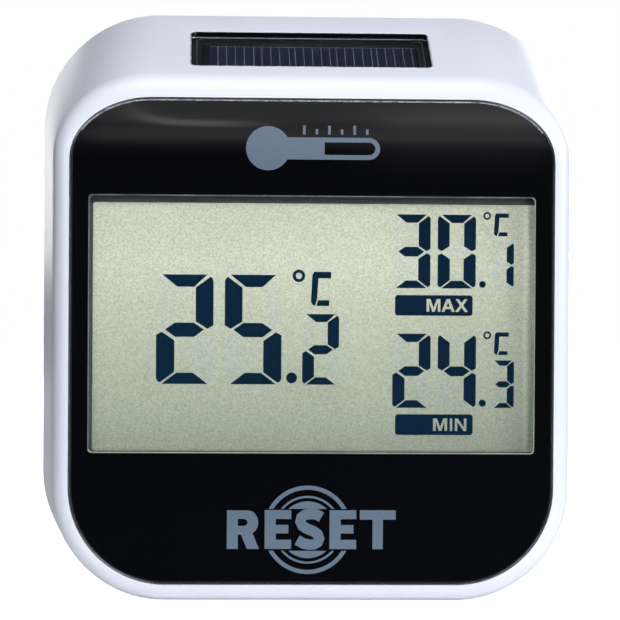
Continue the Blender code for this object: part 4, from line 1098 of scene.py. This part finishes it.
WORD = ((-14.02, 5.36, 82, (R_OUTER, R_HOLE)), (-7.72, 4.42, 67, (LETTER_E,)),
        (-2.75, 5.17, 79.5, (stroke(S_SPINE, 27),)), (3.10, 4.46, 67, (LETTER_E,)),
        (8.15, 6.00, 90, (LETTER_T,)))
letters = [fill_outlines(f"word_{number}", [on_grid(loop, left, width, units) for loop in loops])
           for number, (left, width, units, loops) in enumerate(WORD)]
printed("reset_word", letters)


# %% Rings round the word
RING_X, RING_Z = -0.57, 11.92
BAND_LOW, BAND_HIGH = 8.40 - RING_Z, 15.40 - RING_Z


def ring_part(outer, inner, level, side):
    """The part of a ring above (side 1) or below (side -1) a level line."""
    def arc_of(radius):
        start = math.asin(level * side / radius)
        return [start + (math.pi - 2 * start) * i / 36 for i in range(37)]

    points = [(outer * math.cos(a), side * outer * math.sin(a)) for a in arc_of(outer)]
    if inner:
        points += [(inner * math.cos(a), side * inner * math.sin(a))
                   for a in reversed(arc_of(inner))]
    return [((RING_X + x) * MM, (RING_Z + z) * MM) for x, z in points]


arcs = []
for outer, inner in ((7.38, 6.68), (5.66, 5.31), (4.74, 0)):
    for level, side in ((BAND_HIGH, 1), (BAND_LOW, -1)):
        arcs.append(fill_outlines(f"arc_{outer}_{side}", [ring_part(outer, inner, level, side)]))
printed("reset_rings", arcs)

# %% [markdown]
# The upper mark only says what the instrument is: a thermometer lying on its
# side, with a bulb, a tube and a scale. It is a plain sign, not a badge.

# %% Thermometer sign
SIGN_X, SIGN_Z = 0.1, 75.45
bulb = arc_points(-7.6, 0, 3.7, 3.7, 30, 330, 28)
tube_end = arc_points(9.2, 0, 1.85, 1.85, -90, 90, 12)
outer_sign = bulb + tube_end
hollow = arc_points(9.2, 0, 1.05, 1.05, 90, -90, 10) + [(1.8, -1.05), (1.8, 1.05)]
sign = [fill_outlines("sign_body", [[((SIGN_X + x) * MM, (SIGN_Z + z) * MM) for x, z in loop]
                                    for loop in (outer_sign, hollow)])]
for number in range(6):
    x, tall = -1.6 + 2.1 * number, 1.5 if number % 2 == 0 else 0.9
    sign.append(fill_outlines(f"sign_tick_{number}", [
        [((SIGN_X + x + dx) * MM, (SIGN_Z + 2.35 + dz) * MM)
         for dx, dz in ((-0.22, 0), (0.22, 0), (0.22, tall), (-0.22, tall))]]))
printed("thermometer_sign", sign)

# %% [markdown]
# ## Solar window
# Under the clear pane lie a black frame and the cell. The cell is a dark blue
# strip with thin silver fingers in four groups, joined by a hair line on top.

# %% Pane and the black liner round it
def slope_rings(name, stations, ends="flat", radius=1.0):
    """A skin through outlines of the opening, each with an inset and a lift in mm."""
    return skin(name, [on_slope(solar_outline(inset * MM, radius * MM), lift * MM)
                       for inset, lift in stations], ends)


pane = slope_rings("solar_pane", ((0.05, -1.70), (0.05, -0.86), (0.12, -0.80), (0.30, -0.80)))
smooth(pane, 20)
place(pane, PANE, "clear_plastic", "solar_window")
liner = slope_rings("solar_liner", ((0.03, -0.78), (0.03, -0.08), (0.08, -0.02), (0.20, -0.02),
                                    (0.28, -0.10), (0.34, -0.78)), "joined")
smooth(liner, 40)
place(liner, BLACK_GLOSS, "solar_blue")
# The top faces of the liner's rim take the painted edge highlight.
second_finish(liner, EDGE_HIGHLIGHT, lambda face: (face.center - slope_foot).dot(slope_out)
              > -0.055 * MM)
# A thin grey ring lying on the pane, inside the opening's edge: a painted highlight line.
groove = slope_rings("pane_highlight_line", ((1.10, -0.79), (1.10, -0.775), (1.20, -0.775),
                                     (1.20, -0.79)), "joined", 2.6)
place(groove, PANE_LINE_PAINT, "clear_plastic")

# %% Cell with its fingers
CELL_TOP = -2.20
cell_plate = skin("cell_plate", [on_slope(rounded_box(0, 0, 18.3 * MM - i * MM, 4.4 * MM - i * MM,
                                                      0.2 * MM), lift * MM)
                                 for i, lift in ((0, CELL_TOP - 0.9), (0, CELL_TOP - 0.1),
                                                 (0.1, CELL_TOP))])
smooth(cell_plate)


def strip(name, x0, x1, y0, y1, low, high):
    """A thin bar on the slope, between two places across and up it."""
    half_x, half_y = (x1 - x0) / 2 * MM, (y1 - y0) / 2 * MM
    outline = rounded_box((x0 + x1) / 2 * MM, (y0 + y1) / 2 * MM, half_x, half_y,
                          min(half_x, half_y) * 0.3, steps=2)
    return skin(name, [on_slope(outline, low * MM), on_slope(outline, high * MM)])


FINGERS = (-15.85, -14.36, -12.85, -11.33, -9.69, -8.29, -6.77, -5.26, -3.62, -2.57, -1.11, 0.41,
           1.93, 3.39, 4.55, 6.01, 7.47, 9.05, 10.57, 11.56, 13.02, 14.48, 16.06, 17.58)
fingers = [strip(f"finger_{n}", x - 0.055, x + 0.055, -4.0, 4.1, CELL_TOP - 0.02, CELL_TOP + 0.02)
           for n, x in enumerate(FINGERS)]
fingers.append(strip("bar", -17.2, 18.0, 4.12, 4.20, CELL_TOP - 0.02, CELL_TOP + 0.02))
fingers = joined("cell_fingers", fingers)
CELL_BLUE = finish("solar cell blue", (0.0060, 0.0115, 0.0250), 0.30, grain=4200, relief=0.10,
                   mottle=0.5, mottle_scale=160, shade=0.9, Specular_IOR_Level=0.2)
place(cell_plate, CELL_BLUE, "solar_blue", "solar_cell")
place(fingers, SILVER_INK, "solar_blue")
end_block = strip("cell_end", -18.3, -17.3, -4.4, 4.4, CELL_TOP - 0.02, CELL_TOP + 0.25)
smooth(end_block)
place(end_block, CELL_BLACK, "solar_blue")

# %% [markdown]
# ## Back cover
# The cover lies inside the case's lip. It carries the battery bay, four screw
# seats, the button's guide, the keyhole and the vents. Inner walls are welded
# on first, then everything that is open is cut, with chamfers where it shows.

# %% Sizes behind
BAY_Z = 38.0 * MM
CELL_RADIUS = 5.25 * MM
door_low, door_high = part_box("battery_door")
DOOR_HALF_X, DOOR_TOP = door_high.x, door_high.z
HINGE = Vector((0, BACK_Y, 29.85 * MM))
DOOR_INNER = BACK_Y - 1.6 * MM
CELL_Y = DOOR_INNER - GAP - CELL_RADIUS
BAY_FLOOR = CELL_Y - CELL_RADIUS - GAP
BAY_HALF_X, BAY_HALF_Z = DOOR_HALF_X - 2.0 * MM, 5.85 * MM
button_low, button_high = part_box("unit_button")
BUTTON_X = (button_low.x + button_high.x) / 2
BUTTON_Z = (button_low.z + button_high.z) / 2
SCREWS = []
for number in range(1, 5):
    s_low, s_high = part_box(f"cover_screw_{number}")
    SCREWS.append(((s_low.x + s_high.x) / 2, (s_low.z + s_high.z) / 2, s_high.y))
print("door from", [round(v / MM, 2) for v in door_low], "screws", len(SCREWS))

# %% Cover plate and inner walls
inset = CASE_LIP + GAP
COVER_RINGS = ((COVER_INNER, 0.0), (BACK_Y - 0.45 * MM, 0.0), (BACK_Y - 0.13 * MM, 0.13 * MM),
               (BACK_Y, 0.45 * MM))
cover = skin("back_cover", [both_sides(wall_half(y, inset + more)) for y, more in COVER_RINGS],
             "ladder")
ledge_back, shell_back = COVER_INNER + 0.5 * MM, COVER_INNER - 1.2 * MM
reach = GAP + 2.0 * MM
weld_on(cover,
        block("ledge", (-DOOR_HALF_X - reach, shell_back, door_low.z - GAP),
              (DOOR_HALF_X + reach, ledge_back, DOOR_TOP + reach)),
        block("bay", (-BAY_HALF_X - 1.2 * MM, BAY_FLOOR - MM, BAY_Z - BAY_HALF_Z - 1.2 * MM),
              (BAY_HALF_X + 1.2 * MM, shell_back + 0.5 * MM, BAY_Z + BAY_HALF_Z + 1.2 * MM)),
        turned("guide", [(5.1 * MM, COVER_INNER - 4.5 * MM), (5.1 * MM, ledge_back)],
               BUTTON_X, BUTTON_Z))
for x, z, _ in SCREWS:
    weld_on(cover, turned("seat", [(4.2 * MM, COVER_INNER - 1.9 * MM), (4.2 * MM, ledge_back)],
                          x, z))

# %% Openings in the cover
SOFT = 0.22 * MM


def opened(name, outline, start=COVER_INNER - MM):
    """Cuts an outline out of the cover, with a chamfer on the outside."""
    carve(cover, flared(name, outline, start, BACK_Y, SOFT))


opened("door_cut", lambda g: rounded_box(
    0, (HINGE.z + DOOR_TOP + GAP) / 2, DOOR_HALF_X + GAP, (DOOR_TOP + GAP - HINGE.z) / 2,
    0.5 * MM, g), DOOR_INNER - GAP)
carve(cover, block("bay_cut", (-BAY_HALF_X, BAY_FLOOR, BAY_Z - BAY_HALF_Z),
                   (BAY_HALF_X, BACK_Y, BAY_Z + BAY_HALF_Z)))
notch_floor = DOOR_INNER - GAP - 4.1 * MM
for side in (-1, 1):
    x0, x1 = side * 16 * MM - 4.3 * MM, side * 16 * MM + 4.3 * MM
    carve(cover,
          block("under", (x0, notch_floor, HINGE.z - 2.6 * MM), (x1, COVER_INNER, HINGE.z + MM)),
          block("notch", (x0, notch_floor, HINGE.z), (x1, BACK_Y + MM, HINGE.z + 5 * MM)))
carve(cover, turned("bore", [(4.1 * MM, COVER_INNER - 6 * MM), (4.1 * MM, COVER_INNER)],
                    BUTTON_X, BUTTON_Z))
opened("button_cut", lambda g: circle(BUTTON_X, BUTTON_Z, 3.3 * MM + g))
for x, z, head in SCREWS:
    seat = head - 1.6 * MM - GAP
    opened("head_cut", lambda g: circle(x, z, 3.2 * MM + g), seat)
    carve(cover, turned("shank_cut", [(1.7 * MM, COVER_INNER - 3 * MM), (1.7 * MM, seat + MM)],
                        x, z, 20))
KEY_Z = 81.0 * MM
opened("key_head", lambda g: circle(0, KEY_Z, 4.2 * MM + g, 48))
opened("key_slot", lambda g: rounded_box(0, KEY_Z + 4.3 * MM, 2.1 * MM, 4.3 * MM, 2.09 * MM,
                                         g, 10))
for number in range(9):
    x = (number - 4) * 4.0 * MM
    opened("vent", lambda g: rounded_box(x, 15.5 * MM, 0.75 * MM, 5.5 * MM, 0.6 * MM, g))
for side in (-1, 1):
    ends = sorted((side * (BAY_HALF_X - MM), side * (BAY_HALF_X + 2.2 * MM)))
    carve(cover, block("tab_cut", (ends[0], CELL_Y - 0.7 * MM, BAY_Z - 2.4 * MM),
                       (ends[1], CELL_Y + 0.7 * MM, BAY_Z + 2.4 * MM)))
smooth(cover)
place(cover, COVER_WHITE, "cover_plastic", "rear_cover")

# %% [markdown]
# ## Screws
# A self-tapping screw with a domed head and a cross recess. It is modelled
# once, and the other three are copies with their own mesh, moved into place.

# %% One screw, copied
x, z, head = SCREWS[0]
SCREW_PROFILE = [(0.4, -11.6), (1.4, -9.9), (1.4, -1.6), (2.9, -1.6), (2.9, -0.75),
                 (2.82, -0.45), (2.55, -0.18), (2.1, -0.04), (1.6, 0.0)]
screw = turned("screw_1", in_mm(SCREW_PROFILE, head), x, z, 40)
for wide, tall in ((1.7, 0.38), (0.38, 1.7)):
    taper = [at_depth(rounded_box(x, z, wide * k * MM, tall * k * MM, 0.1 * MM, steps=2),
                      head + y * MM) for k, y in ((0.55, -0.95), (1.0, -0.1), (1.0, 0.4))]
    carve(screw, skin("recess", taper))
smooth(screw)
screws = [screw]
for number, (sx, sz, _) in enumerate(SCREWS[1:], 2):
    twin = bpy.data.objects.new(f"screw_{number}", screw.data.copy())
    bpy.context.scene.collection.objects.link(twin)
    turn = Matrix.Rotation(math.radians(37 * number), 4, "Y")
    twin.data.transform(Matrix.Translation((sx, 0, sz)) @ turn @ Matrix.Translation((-x, 0, -z)))
    screws.append(twin)
for number, piece in enumerate(screws, 1):
    place(piece, NICKEL, "nickel", f"cover_screw_{number}")

# %% [markdown]
# ## Battery door
# The door is a plate with soft edges, two tongues at the foot that hook under
# the cover, and at the top a springy latch between two slots, with grooves for
# a thumb nail. It turns about the line at its foot.

# %% Door
door = block("door_plate", (-DOOR_HALF_X, DOOR_INNER, HINGE.z + GAP),
             (DOOR_HALF_X, BACK_Y, DOOR_TOP))
soften(door, 0.35 * MM, 3)
for side in (-1, 1):
    x0, x1 = side * 16 * MM - 4 * MM, side * 16 * MM + 4 * MM
    tongue = block("tongue", (x0, COVER_INNER - GAP - 1.1 * MM, HINGE.z - 2 * MM),
                   (x1, COVER_INNER - GAP, HINGE.z + 3 * MM))
    soften(tongue, 0.2 * MM, 2)
    weld_on(tongue, block("root", (x0 + 0.1 * MM, COVER_INNER - GAP - 0.5 * MM,
                                   HINGE.z + 2 * GAP),
                          (x1 - 0.1 * MM, BACK_Y - 0.8 * MM, HINGE.z + 2.9 * MM)))
    weld_on(door, tongue)
    carve(door, block("slit", (side * 6 * MM - 0.4 * MM, DOOR_INNER - MM, DOOR_TOP - 5 * MM),
                      (side * 6 * MM + 0.4 * MM, BACK_Y + MM, DOOR_TOP + MM)))
for number in range(3):
    z = DOOR_TOP - 1.2 * MM * (number + 1)
    carve(door, flared("groove", lambda g: rounded_box(0, z, 3.6 * MM, 0.2 * MM, 0.19 * MM, g),
                       BACK_Y - 0.4 * MM, BACK_Y, 0.15 * MM))
smooth(door)
place(door, COVER_WHITE, "cover_plastic", "battery_door", body="door")

# %% Unit button
foot = [(1.4 * MM, button_low.y)]
flange = in_mm([(1.4, -1.2), (3.8, -1.2), (3.8, -0.3), (3.0, -0.3)], COVER_INNER)
cap_top = in_mm([(3.0, -0.4), (2.9, -0.15), (2.65, 0.0), (2.2, 0.0), (1.2, -0.18), (0.3, -0.22)],
                button_high.y)
button = turned("button_cap", foot + flange + cap_top, BUTTON_X, BUTTON_Z, 40)
smooth(button)
place(button, BUTTON_GREY, "button_grey", "unit_button", body="button")

# %% [markdown]
# ## Battery
# Behind the door lies one AAA cell in a printed sleeve, with bare metal ends,
# held by a tapering spring. The sleeve curls in over the shoulders.

# %% Cell and spring
cell_low, cell_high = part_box("battery_cell")
sleeve = turned("cell_sleeve", in_mm(
    [(4.4, 0.30), (4.6, 0.05), (5.0, 0.12), (5.2, 0.45), (5.25, 0.9)], cell_low.x) + in_mm(
    [(5.25, -1.8), (5.18, -1.4), (4.9, -1.05), (4.5, -0.95), (4.3, -1.1)], cell_high.x),
    CELL_Y, BAY_Z, 56, lengthwise)
smooth(sleeve)
place(sleeve, SLEEVE, "battery_wrap", "battery_cell")
ends = turned("cell_ends", in_mm(
    [(3.4, 0.0), (4.3, 0.12), (4.45, 0.35)], cell_low.x) + in_mm(
    [(4.45, -1.2), (4.0, -0.98), (2.3, -0.9), (1.9, -0.75), (1.85, -0.12), (1.6, 0.0)],
    cell_high.x), CELL_Y, BAY_Z, 48, lengthwise)
smooth(ends)
place(ends, NICKEL, "nickel")

spring_low, spring_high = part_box("battery_spring")
WIRE = 0.35 * MM
TURNS, STEPS = 4, 28
deselect()
bpy.ops.curve.primitive_bezier_curve_add()
coil = bpy.context.object
coil.data.splines.clear()
line = coil.data.splines.new("POLY")
line.points.add(TURNS * STEPS)
for number, point in enumerate(line.points):
    share = number / (TURNS * STEPS)
    turn = 2 * math.pi * number / STEPS
    radius = CELL_RADIUS * (0.72 + (0.38 - 0.72) * share)
    reach_x = spring_low.x + WIRE + (spring_high.x - spring_low.x - 2 * WIRE) * share
    point.co = (reach_x, CELL_Y + radius * math.sin(turn), BAY_Z + radius * math.cos(turn), 1.0)
coil.data.bevel_depth, coil.data.bevel_resolution, coil.data.use_fill_caps = WIRE, 3, True
only(coil)
bpy.ops.object.convert(target="MESH")
coil = named(bpy.context.object, "spring_coil")
smooth(coil, 60)
place(coil, NICKEL, "nickel", "battery_spring")

# %% [markdown]
# ## Nodes that stay
# The other pieces have the right shape already. They keep it, and their
# objects get finishes in place of the plain ones.

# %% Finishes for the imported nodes
STAYING = {
    LENS: ["display_lens"], BORDER_SHADOW: ["lcd_glass"], REFLECTOR: ["lcd_reflector"],
    DARK_PLASTIC: ["lcd_frame", "solar_frame", "tact_switch", "storage_capacitor"],
    RUBBER: ["zebra_strip_lower", "zebra_strip_upper", "housing_gasket"],
    BOARD: ["main_pcb"], EPOXY: ["controller_blob", "thermistor"],
    NICKEL: ["pcb_screw_1", "pcb_screw_2", "pcb_screw_3", "pcb_screw_4", "clock_crystal",
             "touch_spring", "battery_contact_minus", "battery_contact_plus"],
    COPPER: ["touch_electrode"], BUTTON_GREY: ["switch_plunger"],
    WIRE_RED: ["solar_wire_red", "battery_wire_red"],
    WIRE_BLACK: ["solar_wire_black", "battery_wire_black"],
}
dressed = set()
for material, names in STAYING.items():
    for name in names:
        for holder in nodes[name].material_slots:
            holder.material = material
        dressed.add(name)
bare = [n for n, o in nodes.items() if not o.hide_render and n not in dressed]
print("nodes dressed", len(dressed), "left bare", bare)
